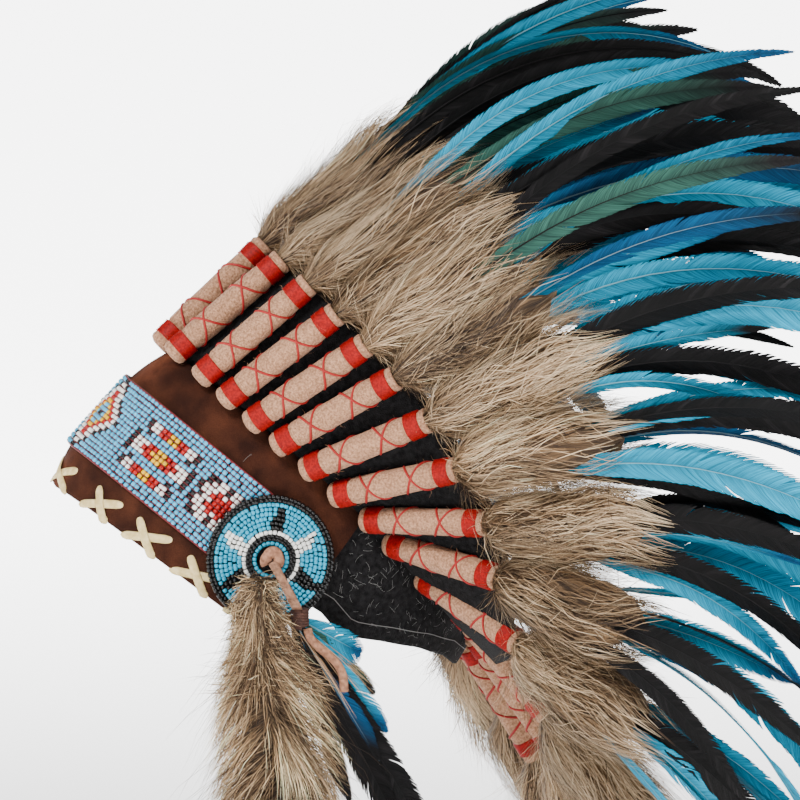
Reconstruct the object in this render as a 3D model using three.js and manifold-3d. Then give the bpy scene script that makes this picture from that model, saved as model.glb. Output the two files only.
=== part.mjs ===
// A feathered bonnet: a felt skull cap with a leather brow band, a beaded strip, two beaded
// rosettes, a fur drop on the left, and a ring of felt-wrapped quills, each with a fur tuft
// and long curved feathers. Millimetres. +Z up, -Y is the wearer's front, +X the wearer's left.
// The origin is the inner crown of the cap, where it rests on a head.

import * as THREE from 'three';
import { mergeVertices } from 'three/addons/utils/BufferGeometryUtils.js';
import Module from 'manifold-3d';

const wasm = await Module();
wasm.setup();

// Driving dimensions, in millimetres and degrees
const HEAD_TILT = 42.4;
const CAP_FRONT_REACH = 109;
const CAP_REAR_REACH = 108;
const CAP_HALF_WIDTH = 68;
const CAP_DEPTH = 80;
const CROWN_RISE = 62;
const CAP_WALL = 2.5;
const BAND_WALL = 2;
const BAND_HALF_TURN = 90;
const STRIP_WIDTH = 41;
const STRIP_THICKNESS = 2.2;
const STRIP_HALF_TURN = 80;
const ROSETTE_RADIUS = 30.5;
const ROSETTE_THICKNESS = 3.2;
const ROSETTE_TURN = 76.7;
const KNOT_RADIUS = 5.5;
const KNOT_FLATNESS = 0.6;
const THONG_WIDTH = 4.5;
const THONG_THICKNESS = 2;
const THONG_DROP = 24;
const THONG_SET_BACK = 11;
const FERRULE_RADIUS = 4.5;
const FERRULE_LENGTH = 9;
const TAIL_CORD_DIAMETER = 3;
const DROP_LENGTH = 172;
const DROP_HALF_WIDTH = 27;
const DROP_HALF_DEPTH = 16;
const DROP_FEATHER_LENGTH = 165;
const DROP_FEATHER_HALF_WIDTH = 9;
const SLEEVE_LENGTH = 71;
const SLEEVE_RADIUS = 6.7;
const SLEEVE_WALL = 1.7;
const SOCKET_DEPTH = 9;
const TUFT_LENGTH = 104;
const TUFT_HALF_WIDTH = 20;
const FEATHER_REACH = 312;
const FEATHER_HALF_WIDTH = 10;
const FEATHER_THICKNESS = 1.8;
const FEATHER_CURL = 0.32;
const STRAIGHT_RUN = 95;
const SEAT_GAP = 0.3;
const LAYER_GAP = 0.5;

// Facet counts
const CAP_COLUMNS = 36;
const COLUMN_TURN = 360 / CAP_COLUMNS;
const SLEEVE_SIDES = 8;
const TUFT_SIDES = 6;
const DROP_SIDES = 8;
const ROSETTE_SIDES = 24;
const CORD_SIDES = 8;

const FELT_BLACK = { color: 0x131214, roughness: 0.95, metalness: 0 };
const LEATHER_BROWN = { color: 0x4a2a1b, roughness: 0.85, metalness: 0 };
const BEAD_BLUE = { color: 0x7fb4cf, roughness: 0.3, metalness: 0 };
const THONG_TAN = { color: 0xb08a63, roughness: 0.8, metalness: 0 };
const FELT_BEIGE = { color: 0xc8a288, roughness: 0.95, metalness: 0 };
const FUR_TAUPE = { color: 0x9a8468, roughness: 0.9, metalness: 0 };

// Outline of the cap by height. rise: share of CROWN_RISE above the quill ring, or of CAP_DEPTH
// below it. reach and half: shares of the reaches and of the half width.
const CAP_SECTIONS = [
  { rise: -1.0, reach: 0.955, half: 0.96 },
  { rise: -0.75, reach: 1.0, half: 1.0 },
  { rise: -0.25, reach: 0.99, half: 0.985 },
  { rise: -0.1, reach: 0.965, half: 0.955 },
  { rise: 0.08, reach: 0.92, half: 0.885 },
  { rise: 0.4, reach: 0.8, half: 0.765 },
  { rise: 0.7, reach: 0.58, half: 0.55 },
  { rise: 0.92, reach: 0.28, half: 0.27 },
  { rise: 1.0, reach: 0.0, half: 0.0 },
];

// Height of the cap's rim, as a share of CAP_DEPTH, by turn from the front
const RIM_SECTIONS = [
  { turn: 0, rise: -0.88 },
  { turn: 60, rise: -0.86 },
  { turn: 84, rise: -0.6 },
  { turn: 97, rise: -0.54 },
  { turn: 106, rise: -0.57 },
  { turn: 118, rise: -0.44 },
  { turn: 131, rise: -0.33 },
  { turn: 145, rise: -0.27 },
  { turn: 180, rise: -0.27 },
];

// Edges of the brow band and of the beaded strip by turn: shares of CAP_DEPTH
const BAND_SECTIONS = [
  { turn: 0, low: -1.0, stripMiddle: -0.5 },
  { turn: 75, low: -0.9, stripMiddle: -0.46 },
  { turn: 90, low: -0.88, stripMiddle: -0.46 },
];
const BAND_RISES = [-0.75, -0.25, -0.1, 0.06];
const ROSETTE_RISE = -0.507;

// One row for each mirrored pair of quills, from the brow to the nape, and a last one for the
// single quill in the middle of the nape. turn: place on the ring from the front; seat: height
// of the base as a share of SLEEVE_RADIUS; lean: tilt from the head's own up; heading: where it
// leans, 180 is straight back; reach: share of FEATHER_REACH.
const QUILLS = [
  { turn: 8.6, seat: 0.6, lean: 9, heading: 155, reach: 1.0 },
  { turn: 26, seat: 0.6, lean: 10, heading: 130, reach: 0.99 },
  { turn: 38, seat: 0.52, lean: 15, heading: 122, reach: 1.0 },
  { turn: 49, seat: 0.45, lean: 20, heading: 118, reach: 0.98 },
  { turn: 59, seat: 0.45, lean: 26, heading: 117, reach: 0.97 },
  { turn: 69.5, seat: 0.4, lean: 35, heading: 117, reach: 0.98 },
  { turn: 80, seat: 0.3, lean: 46, heading: 117, reach: 0.96 },
  { turn: 91, seat: 0.3, lean: 58, heading: 120, reach: 0.95 },
  { turn: 101.5, seat: 0.15, lean: 72, heading: 119.5, reach: 0.94 },
  { turn: 116.5, seat: -0.3, lean: 85, heading: 123, reach: 0.92 },
  { turn: 135, seat: -0.45, lean: 99.5, heading: 152, reach: 0.92 },
  { turn: 156, seat: -1.2, lean: 104, heading: 170, reach: 0.9 },
  { turn: 180, seat: -1.9, lean: 108, heading: 180, reach: 0.88 },
];

// Sections of a fur tuft. along: share of TUFT_LENGTH beyond the sleeve; girth: share of the
// half width that the tuft's neighbours leave it.
const TUFT_SECTIONS = [
  { along: 0.012, girth: 0.62 },
  { along: 0.14, girth: 0.86 },
  { along: 0.42, girth: 1.0 },
  { along: 0.74, girth: 0.92 },
  { along: 1.0, girth: 0.42 },
];
const DROP_GROOVE = 0.84;

// Lock tips that stand out of a tuft: where each starts and ends as shares of TUFT_LENGTH, and
// how far its tip stands off the tuft's line, in shares of the tuft's girth: rise toward the
// sky, side across
const LOCKS = [
  { rise: 1.0, side: 0.0, from: 0.72, to: 1.08 },
  { rise: -0.55, side: 0.8, from: 0.7, to: 1.12 },
  { rise: -0.55, side: -0.8, from: 0.66, to: 1.05 },
];

// Feathers of one quill: reach as a share of the pair's own reach, width and curl as shares of
// the named sizes
const FEATHERS = [
  { reach: 1.0, swing: 1.5, spread: 1.5, width: 1.0, curl: 1.0 },
  { reach: 0.9, swing: -2.5, spread: -1.5, width: 0.95, curl: 1.05 },
  { reach: 0.68, swing: 4.5, spread: -0.5, width: 0.85, curl: 0.9 },
];
const FEATHER_ROOT = 0.45;

// Outline of a feather: share of its length and of its half width
const VANE = [
  { along: 0.0, wide: 0.35 },
  { along: 0.3, wide: 0.92 },
  { along: 0.58, wide: 1.0 },
  { along: 0.83, wide: 0.75 },
  { along: 1.0, wide: 0.0 },
];

// Sections of the side drop, from its head down. along: share of DROP_LENGTH; wide and deep:
// shares of its half sizes; ahead and out: where its middle is, as shares of the same.
const DROP_SECTIONS = [
  { along: 0.0, wide: 0.1, deep: 0.16, ahead: 0.0, out: 0.0 },
  { along: 0.05, wide: 0.45, deep: 0.4, ahead: 0.3, out: 0.1 },
  { along: 0.18, wide: 0.84, deep: 0.72, ahead: 0.55, out: 0.3 },
  { along: 0.45, wide: 1.0, deep: 1.0, ahead: 0.5, out: 0.45 },
  { along: 0.75, wide: 0.9, deep: 0.85, ahead: 0.35, out: 0.45 },
  { along: 1.0, wide: 0.2, deep: 0.2, ahead: 0.3, out: 0.45 },
];
const DROP_LOCKS = [
  { aim: [0.16, -0.3, -1], from: 0.35, size: 0.5, length: 0.42 },
  { aim: [0.3, 0.12, -1], from: 0.5, size: 0.5, length: 0.44 },
  { aim: [-0.05, 0.3, -1], from: 0.55, size: 0.5, length: 0.4 },
];
const DROP_FEATHERS = [
  { swing: 31, lift: 3, length: 1.0, from: 0.12, wide: 1.0 },
  { swing: 24, lift: 9, length: 0.62, from: 0.1, wide: 0.9 },
];

// Hand-chosen route of the thong's free end, from the ferrule's mouth on the wearer's left
const TAIL_ROUTE = [
  [0, 0, 0],
  [0.3, 0.4, -2.5],
  [1.0, 1.4, -5],
  [2.0, 3.4, -7.5],
  [3.0, 5.8, -9.8],
  [3.8, 8.4, -12],
  [4.4, 11, -14.4],
  [4.8, 13.4, -17.2],
  [5.0, 15.2, -20.4],
  [5.0, 16.2, -23.8],
  [4.9, 16.6, -27.4],
  [4.8, 16.7, -31],
];

const rad = THREE.MathUtils.degToRad;
const lerp = THREE.MathUtils.lerp;
const UP = new THREE.Vector3(0, 0, 1);
// Feathers hang toward this direction: down and a little back
const DROOP = new THREE.Vector3(0, 0.3, -1).normalize();

// Reads one column of a table whose rows are ordered by another column
function readTable(rows, by, column, value) {
  const above = rows.findIndex((row) => row[by] >= value);
  if (above === 0) return rows[0][column];
  if (above < 0) return rows[rows.length - 1][column];
  const low = rows[above - 1];
  const high = rows[above];
  return lerp(low[column], high[column], (value - low[by]) / (high[by] - low[by]));
}

const riseHeight = (rise) => rise * (rise > 0 ? CROWN_RISE : CAP_DEPTH);
const riseShare = (height) => height / (height > 0 ? CROWN_RISE : CAP_DEPTH);

// A point of the cap's outer face in the head's own frame
function capOuter(turn, height) {
  const share = riseShare(height);
  const angle = rad(turn);
  const reach = Math.cos(angle) > 0 ? CAP_FRONT_REACH : CAP_REAR_REACH;
  return new THREE.Vector3(
    Math.sin(angle) * CAP_HALF_WIDTH * readTable(CAP_SECTIONS, 'rise', 'half', share),
    -Math.cos(angle) * reach * readTable(CAP_SECTIONS, 'rise', 'reach', share),
    height,
  );
}

function capNormal(turn, height) {
  if (height > 0.97 * CROWN_RISE) return UP.clone();
  const TURN_STEP = 1;
  const HEIGHT_STEP = 3;
  const across = capOuter(turn + TURN_STEP, height).sub(capOuter(turn - TURN_STEP, height));
  const upward = capOuter(turn, height + HEIGHT_STEP).sub(capOuter(turn, height - HEIGHT_STEP));
  return across.cross(upward).normalize();
}

// A point that stands proud of the cap's outer face by a distance along its normal
function overCap(turn, height, proud) {
  return capOuter(turn, height).addScaledVector(capNormal(turn, height), proud);
}

function geometryFrom(points, triangles) {
  const geometry = new THREE.BufferGeometry();
  geometry.setAttribute('position', new THREE.Float32BufferAttribute(points.flatMap((p) => p.toArray()), 3));
  geometry.setIndex(triangles.flat());
  geometry.computeVertexNormals();
  return geometry;
}

// A closed slab between an outer and an inner sheet, both a grid of columns and rows.
// place(column, row, inner) gives each point; columns run anticlockwise seen from above.
function slab(columns, rows, place) {
  const points = [];
  for (const inner of [false, true]) {
    for (let column = 0; column <= columns; column += 1) {
      for (let row = 0; row <= rows; row += 1) points.push(place(column, row, inner));
    }
  }
  const sheet = (columns + 1) * (rows + 1);
  const at = (column, row, inner) => (inner ? sheet : 0) + column * (rows + 1) + row;
  const triangles = [];
  const quad = (a, b, c, d) => triangles.push([a, b, c], [a, c, d]);
  for (let c = 0; c < columns; c += 1) {
    for (let r = 0; r < rows; r += 1) {
      quad(at(c, r, false), at(c + 1, r, false), at(c + 1, r + 1, false), at(c, r + 1, false));
      quad(at(c, r, true), at(c, r + 1, true), at(c + 1, r + 1, true), at(c + 1, r, true));
    }
    quad(at(c, 0, false), at(c, 0, true), at(c + 1, 0, true), at(c + 1, 0, false));
    quad(at(c, rows, false), at(c + 1, rows, false), at(c + 1, rows, true), at(c, rows, true));
  }
  for (let r = 0; r < rows; r += 1) {
    quad(at(0, r, false), at(0, r + 1, false), at(0, r + 1, true), at(0, r, true));
    quad(at(columns, r, false), at(columns, r, true), at(columns, r + 1, true), at(columns, r + 1, false));
  }
  return geometryFrom(points, triangles);
}

// A closed body through rings of equal point counts; a ring of one point is a tip
function loft(rings) {
  const points = [];
  const starts = rings.map((ring) => points.push(...ring) - ring.length);
  const triangles = [];
  const first = rings[0];
  const last = rings[rings.length - 1];
  for (let k = 0; k + 1 < rings.length; k += 1) {
    const sides = Math.max(rings[k].length, rings[k + 1].length);
    for (let j = 0; j < sides; j += 1) {
      const next = (j + 1) % sides;
      const lowA = starts[k] + (rings[k].length > 1 ? j : 0);
      const lowB = starts[k] + (rings[k].length > 1 ? next : 0);
      const highA = starts[k + 1] + (rings[k + 1].length > 1 ? j : 0);
      const highB = starts[k + 1] + (rings[k + 1].length > 1 ? next : 0);
      if (lowA !== lowB) triangles.push([lowA, lowB, highB]);
      if (highA !== highB) triangles.push([lowA, highB, highA]);
    }
  }
  for (let j = 1; j + 1 < first.length; j += 1) triangles.push([0, j + 1, j]);
  const end = starts[starts.length - 1];
  for (let j = 1; j + 1 < last.length; j += 1) triangles.push([end, end + j, end + j + 1]);
  return geometryFrom(points, triangles);
}

// Points of an ellipse across a line, given its two half axes as vectors
function ring(middle, across, deep, sides, groove = 1) {
  return Array.from({ length: sides }, (_, j) => {
    const angle = (2 * Math.PI * j) / sides;
    const share = j % 2 ? groove : 1;
    return middle.clone()
      .addScaledVector(across, share * Math.cos(angle))
      .addScaledVector(deep, share * Math.sin(angle));
  });
}

function solidOf(geometry) {
  const bare = geometry.clone();
  bare.deleteAttribute('normal');
  bare.deleteAttribute('uv');
  const merged = mergeVertices(bare, 1e-5);
  return new wasm.Manifold(new wasm.Mesh({
    numProp: 3,
    vertProperties: new Float32Array(merged.attributes.position.array),
    triVerts: new Uint32Array(merged.index.array),
  }));
}

function fuse(geometries) {
  const whole = geometries.map(solidOf).reduce((sum, solid) => sum.add(solid));
  const mesh = whole.getMesh();
  const geometry = new THREE.BufferGeometry();
  geometry.setAttribute('position', new THREE.BufferAttribute(new Float32Array(mesh.vertProperties), 3));
  geometry.setIndex(new THREE.BufferAttribute(new Uint32Array(mesh.triVerts), 1));
  geometry.computeVertexNormals();
  return geometry;
}

// The same body on the wearer's other side
function mirrored(geometry) {
  const copy = geometry.clone();
  copy.scale(-1, 1, 1);
  const index = Array.from(copy.index.array);
  for (let k = 0; k < index.length; k += 3) [index[k], index[k + 1]] = [index[k + 1], index[k]];
  copy.setIndex(index);
  copy.computeVertexNormals();
  return copy;
}

function named(name, geometry, finish) {
  const mesh = new THREE.Mesh(geometry, new THREE.MeshStandardMaterial(finish));
  mesh.name = name;
  return mesh;
}

// The cap, open below, with the rim rising toward the nape
function capGeometry() {
  const RIM_STEPS = 2;
  const DOME_RISES = [0.08, 0.4, 0.7, 0.92];
  const apex = CROWN_RISE;
  const rings = [];
  const heights = (turn) => {
    const folded = Math.abs(THREE.MathUtils.euclideanModulo(turn + 180, 360) - 180);
    const rim = riseHeight(readTable(RIM_SECTIONS, 'turn', 'rise', folded));
    const shoulder = riseHeight(-0.1);
    const wall = Array.from({ length: RIM_STEPS + 1 }, (_, k) => lerp(rim, shoulder, k / RIM_STEPS));
    return [...wall, ...DOME_RISES.map(riseHeight)];
  };
  const count = RIM_STEPS + 1 + DOME_RISES.length;
  const ringAt = (row, proud) => Array.from({ length: CAP_COLUMNS }, (_, c) => {
    const turn = c * COLUMN_TURN;
    return overCap(turn, heights(turn)[row], proud);
  });
  rings.push([new THREE.Vector3(0, 0, apex - CAP_WALL)]);
  for (let row = count - 1; row >= 0; row -= 1) rings.push(ringAt(row, -CAP_WALL));
  for (let row = 0; row < count; row += 1) rings.push(ringAt(row, 0));
  rings.push([new THREE.Vector3(0, 0, apex)]);
  return loft(rings);
}

function browBandGeometry() {
  const columns = (2 * BAND_HALF_TURN) / COLUMN_TURN;
  return slab(columns, BAND_RISES.length, (column, row, inner) => {
    const turn = -BAND_HALF_TURN + column * COLUMN_TURN;
    const low = readTable(BAND_SECTIONS, 'turn', 'low', Math.abs(turn));
    const rise = row === 0 ? low : BAND_RISES[row - 1];
    return overCap(turn, riseHeight(rise), inner ? LAYER_GAP : LAYER_GAP + BAND_WALL);
  });
}

const BAND_FACE = LAYER_GAP + BAND_WALL;
const STRIP_FACE = BAND_FACE + LAYER_GAP + STRIP_THICKNESS;

function beadedStripGeometry() {
  const ROWS = 3;
  const columns = (2 * STRIP_HALF_TURN) / COLUMN_TURN;
  return slab(columns, ROWS, (column, row, inner) => {
    const turn = -STRIP_HALF_TURN + column * COLUMN_TURN;
    const middle = riseHeight(readTable(BAND_SECTIONS, 'turn', 'stripMiddle', Math.abs(turn)));
    const height = middle + STRIP_WIDTH * (row / ROWS - 0.5);
    return overCap(turn, height, inner ? BAND_FACE + LAYER_GAP : STRIP_FACE);
  });
}

// A beaded disc, slightly domed, its back flat on the plane z = 0
function rosetteGeometry() {
  const profile = [
    [0, 0],
    [0.98 * ROSETTE_RADIUS, 0],
    [ROSETTE_RADIUS, 0.35 * ROSETTE_THICKNESS],
    [0.95 * ROSETTE_RADIUS, 0.8 * ROSETTE_THICKNESS],
    [0, ROSETTE_THICKNESS],
  ].map(([radius, height]) => new THREE.Vector2(radius, height));
  const geometry = new THREE.LatheGeometry(profile, ROSETTE_SIDES);
  geometry.rotateX(Math.PI / 2);
  return geometry;
}

// A felt tube wound round a quill: a round closed foot on the origin, +Z to its open mouth
function sleeveGeometry() {
  const bore = SLEEVE_RADIUS - SLEEVE_WALL;
  const profile = [
    [0, 0],
    [0.7 * SLEEVE_RADIUS, 0.22 * SLEEVE_RADIUS],
    [SLEEVE_RADIUS, 0.8 * SLEEVE_RADIUS],
    [SLEEVE_RADIUS, SLEEVE_LENGTH],
    [bore, SLEEVE_LENGTH],
    [bore, SLEEVE_LENGTH - SOCKET_DEPTH],
    [0, SLEEVE_LENGTH - SOCKET_DEPTH],
  ].map(([radius, height]) => new THREE.Vector2(radius, height));
  const geometry = new THREE.LatheGeometry(profile, SLEEVE_SIDES);
  geometry.rotateX(Math.PI / 2);
  return geometry;
}

const headTurn = new THREE.Matrix4().makeRotationX(-rad(HEAD_TILT));
const headRest = new THREE.Vector3(0, 0, CROWN_RISE - CAP_WALL);

// From the head's own frame to the part's frame
function toPart(point) {
  return point.clone().sub(headRest).applyMatrix4(headTurn);
}

// Where each left-hand quill stands: its foot, line and mouth in the head's own frame
function quillPlaces() {
  return QUILLS.map((row) => {
    const height = row.seat * SLEEVE_RADIUS;
    const under = row.turn < BAND_HALF_TURN + COLUMN_TURN / 2 ? BAND_FACE : 0;
    const heel = overCap(row.turn, height, under + SEAT_GAP + SLEEVE_RADIUS);
    const line = new THREE.Vector3(
      Math.sin(rad(row.lean)) * Math.sin(rad(row.heading)),
      -Math.sin(rad(row.lean)) * Math.cos(rad(row.heading)),
      Math.cos(rad(row.lean)),
    );
    const foot = heel.addScaledVector(line, -SLEEVE_RADIUS);
    const mouth = foot.clone().addScaledVector(line, SLEEVE_LENGTH);
    return { row, foot, line, mouth };
  });
}

// The droop of one quill in the part's frame: line, the way it bends, and across both
function plumeFrame(place) {
  const line = place.line.clone().applyMatrix4(headTurn);
  const bend = DROOP.clone().addScaledVector(line, -DROOP.dot(line)).normalize();
  return { line, bend, across: line.clone().cross(bend).normalize() };
}

// A line turned toward the sky by swing and across by spread, both in degrees
function aimed(frame, swing, spread) {
  const line = frame.line.clone()
    .addScaledVector(frame.bend, -Math.tan(rad(swing)))
    .addScaledVector(frame.across, Math.tan(rad(spread)))
    .normalize();
  return { ...frame, line, bend: frame.bend.clone().addScaledVector(line, -frame.bend.dot(line)).normalize() };
}

// A line that runs straight and then curls toward its bend at a constant rate
function spinePoint(start, frame, along, curl) {
  const straight = Math.min(along, STRAIGHT_RUN);
  const angle = rad(curl) * (along - straight);
  const radius = 1 / rad(curl);
  return {
    point: start.clone()
      .addScaledVector(frame.line, straight + radius * Math.sin(angle))
      .addScaledVector(frame.bend, radius * (1 - Math.cos(angle))),
    bend: frame.bend.clone().multiplyScalar(Math.cos(angle)).addScaledVector(frame.line, -Math.sin(angle)),
    across: frame.across.clone(),
  };
}

// A flat feather with a raised middle: four points across it
function featherGeometry(frame, row, reach, root) {
  const aim = aimed(frame, row.swing, row.spread);
  const rings = VANE.map(({ along, wide }) => {
    const at = spinePoint(new THREE.Vector3(), aim, lerp(root, reach, along), FEATHER_CURL * row.curl);
    if (wide === 0) return [at.point];
    const half = FEATHER_HALF_WIDTH * row.width * wide;
    return ring(at.point, at.bend.multiplyScalar(half), at.across.multiplyScalar(FEATHER_THICKNESS / 2), 4);
  });
  return loft(rings);
}

function lockGeometry(frame, lock, girth) {
  const standing = (share, off) => {
    const at = spinePoint(new THREE.Vector3(), frame, share * TUFT_LENGTH, FEATHER_CURL);
    at.point.addScaledVector(at.bend, -lock.rise * off).addScaledVector(at.across, lock.side * off);
    return at;
  };
  const root = standing(lock.from, 0.4 * girth);
  const tip = standing(lock.to, girth);
  const half = 0.42 * girth;
  return loft([
    ring(root.point, root.bend.multiplyScalar(half), root.across.multiplyScalar(half), 4),
    [tip.point],
  ]);
}

// Fur tuft, lock tips and feathers of one quill in one body, about the sleeve's mouth. room(s)
// is the half width that the neighbours leave at a distance s beyond the mouth.
function plumeGeometry(frame, room, reach) {
  const plug = (SLEEVE_RADIUS - SLEEVE_WALL) * Math.cos(Math.PI / SLEEVE_SIDES) - SEAT_GAP;
  const plugFoot = -SOCKET_DEPTH + SEAT_GAP;
  const section = (along, half) => {
    const at = spinePoint(new THREE.Vector3(), frame, along, FEATHER_CURL);
    return ring(at.point, at.bend.multiplyScalar(half), at.across.multiplyScalar(half), TUFT_SIDES);
  };
  const girthAt = (row) => Math.min(TUFT_HALF_WIDTH, room(row.along * TUFT_LENGTH)) * row.girth;
  const body = loft([
    section(plugFoot, plug),
    section(SEAT_GAP, plug),
    ...TUFT_SECTIONS.map((row) => section(row.along * TUFT_LENGTH, girthAt(row))),
  ]);
  const girth = girthAt(TUFT_SECTIONS[3]);
  return fuse([
    body,
    ...LOCKS.map((lock) => lockGeometry(frame, lock, girth)),
    ...FEATHERS.map((row) => featherGeometry(frame, row, reach * row.reach, FEATHER_ROOT * TUFT_LENGTH)),
  ]);
}

// The rosette's frame in the part: its middle on the strip's face and its outward direction
function rosettePlace() {
  const height = riseHeight(ROSETTE_RISE);
  return {
    middle: overCap(ROSETTE_TURN, height, STRIP_FACE + SEAT_GAP),
    normal: capNormal(ROSETTE_TURN, height),
  };
}

// Where the thong's knot and ferrule are, in the part's frame, on the wearer's left
function thongPlace() {
  const { middle, normal } = rosettePlace();
  const outward = normal.clone().applyMatrix4(headTurn);
  const face = toPart(middle).addScaledVector(outward, ROSETTE_THICKNESS);
  const knot = face.clone().addScaledVector(outward, SEAT_GAP + KNOT_FLATNESS * KNOT_RADIUS);
  const ferruleTop = knot.clone().add(new THREE.Vector3(0.35 * THONG_DROP, THONG_SET_BACK, -THONG_DROP));
  return { outward, knot, ferruleTop };
}

function knotGeometry() {
  const knot = new THREE.SphereGeometry(KNOT_RADIUS, 8, 6);
  return knot.scale(KNOT_FLATNESS, 1, 0.85);
}

// Knot, flat strap and the wrapped ferrule that gathers the drop, about the knot
function thongGeometry(place) {
  const run = place.ferruleTop.clone().sub(place.knot);
  const along = run.clone().normalize();
  const flat = place.outward.clone().addScaledVector(along, -place.outward.dot(along)).normalize();
  const wide = along.clone().cross(flat);
  const frame = (from, to, halfWide, halfThick) => loft([from, to].map((middle) => ring(
    middle,
    wide.clone().multiplyScalar(halfWide * Math.SQRT2),
    flat.clone().multiplyScalar(-halfThick * Math.SQRT2),
    4,
  )));
  const strap = frame(new THREE.Vector3(), run, THONG_WIDTH / 2, THONG_THICKNESS / 2);
  const ferrule = new THREE.CylinderGeometry(FERRULE_RADIUS, 0.9 * FERRULE_RADIUS, FERRULE_LENGTH, 8);
  ferrule.rotateX(Math.PI / 2);
  ferrule.translate(run.x, run.y, run.z - FERRULE_LENGTH / 2 + THONG_THICKNESS);
  return fuse([knotGeometry(), strap, ferrule]);
}

// The thong's free end: a round-sided tube of the thong's width along its route
function thongTailGeometry() {
  const path = new THREE.CatmullRomCurve3(TAIL_ROUTE.map((point) => new THREE.Vector3(...point)));
  const section = new THREE.Shape(Array.from({ length: CORD_SIDES }, (_, j) => {
    const angle = (2 * Math.PI * j) / CORD_SIDES;
    const half = TAIL_CORD_DIAMETER / 2;
    return new THREE.Vector2(half * Math.cos(angle), half * Math.sin(angle));
  }));
  const steps = TAIL_ROUTE.length - 1;
  return new THREE.ExtrudeGeometry(section, { steps, bevelEnabled: false, extrudePath: path });
}

// Long-haired fur tail with its lock tips and feathers, hanging about its head
function dropGeometry() {
  const down = (row) => new THREE.Vector3(
    row.out * DROP_HALF_DEPTH,
    -row.ahead * DROP_HALF_WIDTH,
    -row.along * DROP_LENGTH,
  );
  const body = loft(DROP_SECTIONS.map((row) => ring(
    down(row),
    new THREE.Vector3(0, row.wide * DROP_HALF_WIDTH, 0),
    new THREE.Vector3(row.deep * DROP_HALF_DEPTH, 0, 0),
    DROP_SIDES,
    DROP_GROOVE,
  )));
  const locks = DROP_LOCKS.map((lock) => {
    const shares = ['out', 'ahead'].map((column) => readTable(DROP_SECTIONS, 'along', column, lock.from));
    const start = down({ along: lock.from, out: shares[0], ahead: shares[1] });
    const tip = start.clone().addScaledVector(new THREE.Vector3(...lock.aim).normalize(), lock.length * DROP_LENGTH);
    const wide = new THREE.Vector3(0, lock.size * DROP_HALF_WIDTH, 0);
    return loft([ring(start, wide, new THREE.Vector3(lock.size * DROP_HALF_DEPTH, 0, 0), 4), [tip]]);
  });
  const feathers = DROP_FEATHERS.map((row) => {
    const line = new THREE.Vector3(Math.sin(rad(row.lift)), Math.sin(rad(row.swing)), -Math.cos(rad(row.swing)));
    line.normalize();
    const bend = new THREE.Vector3(0, -1, 0).addScaledVector(line, line.y).normalize();
    const frame = { line, bend, across: line.clone().cross(bend).normalize() };
    const start = down({ along: row.from, out: 0.2, ahead: 0.2 });
    const length = row.length * DROP_FEATHER_LENGTH;
    return loft(VANE.map(({ along, wide }) => {
      const at = spinePoint(start, frame, along * length, FEATHER_CURL / 2);
      if (wide === 0) return [at.point];
      const half = DROP_FEATHER_HALF_WIDTH * row.wide * wide;
      return ring(at.point, at.bend.multiplyScalar(half), at.across.multiplyScalar(FEATHER_THICKNESS / 2), 4);
    }));
  });
  return fuse([body, ...locks, ...feathers]);
}

const headdress = new THREE.Group();
const head = new THREE.Group();
head.rotation.x = -rad(HEAD_TILT);
head.position.copy(toPart(new THREE.Vector3()));
headdress.add(head);

head.add(named('cap', capGeometry(), FELT_BLACK));
head.add(named('brow_band', browBandGeometry(), LEATHER_BROWN));
head.add(named('beaded_strip', beadedStripGeometry(), BEAD_BLUE));

const SIDES = [{ side: 'left', sign: 1 }, { side: 'right', sign: -1 }];
const across = (vector, sign) => new THREE.Vector3(sign * vector.x, vector.y, vector.z);

function addQuills() {
  const places = quillPlaces();
  const reachOf = (place) => FEATHER_REACH * place.row.reach;
  const partPoint = (place, along) => spinePoint(toPart(place.mouth), plumeFrame(place), along, FEATHER_CURL).point;
  places.forEach((place, index) => {
    const opposite = (other) => ({ ...other, mouth: across(other.mouth, -1), line: across(other.line, -1) });
    const beside = [
      index === 0 ? opposite(place) : places[index - 1],
      index === places.length - 1 ? opposite(places[index - 1]) : places[index + 1],
    ];
    const room = (along) => {
      const here = partPoint(place, along);
      const gaps = beside.map((other) => here.distanceTo(partPoint(other, along)));
      return Math.min(...gaps) / 2 - SEAT_GAP;
    };
    const plume = plumeGeometry(plumeFrame(place), room, reachOf(place));
    const sides = place.row.turn < 180 ? SIDES : [{ side: 'middle', sign: 1 }];
    sides.forEach(({ side, sign }) => {
      const number = String(index + 1).padStart(2, '0');
      const sleeve = named(`quill_wrap_${side}_${number}`, sleeveGeometry(), FELT_BEIGE);
      sleeve.position.copy(across(place.foot, sign));
      sleeve.quaternion.setFromUnitVectors(UP, across(place.line, sign));
      head.add(sleeve);
      const body = named(`plume_${side}_${number}`, sign > 0 ? plume : mirrored(plume), FUR_TAUPE);
      body.position.copy(across(toPart(place.mouth), sign));
      headdress.add(body);
    });
  });
}

function addRosettes() {
  const rosette = rosettePlace();
  const knotSpot = thongPlace().knot;
  SIDES.forEach(({ side, sign }) => {
    const disc = named(`rosette_${side}`, rosetteGeometry(), BEAD_BLUE);
    disc.position.copy(across(rosette.middle, sign));
    disc.quaternion.setFromUnitVectors(UP, across(rosette.normal, sign));
    head.add(disc);
  });
  const knot = named('thong_knot_right', knotGeometry(), THONG_TAN);
  knot.position.copy(across(knotSpot, -1));
  headdress.add(knot);
}

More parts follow.
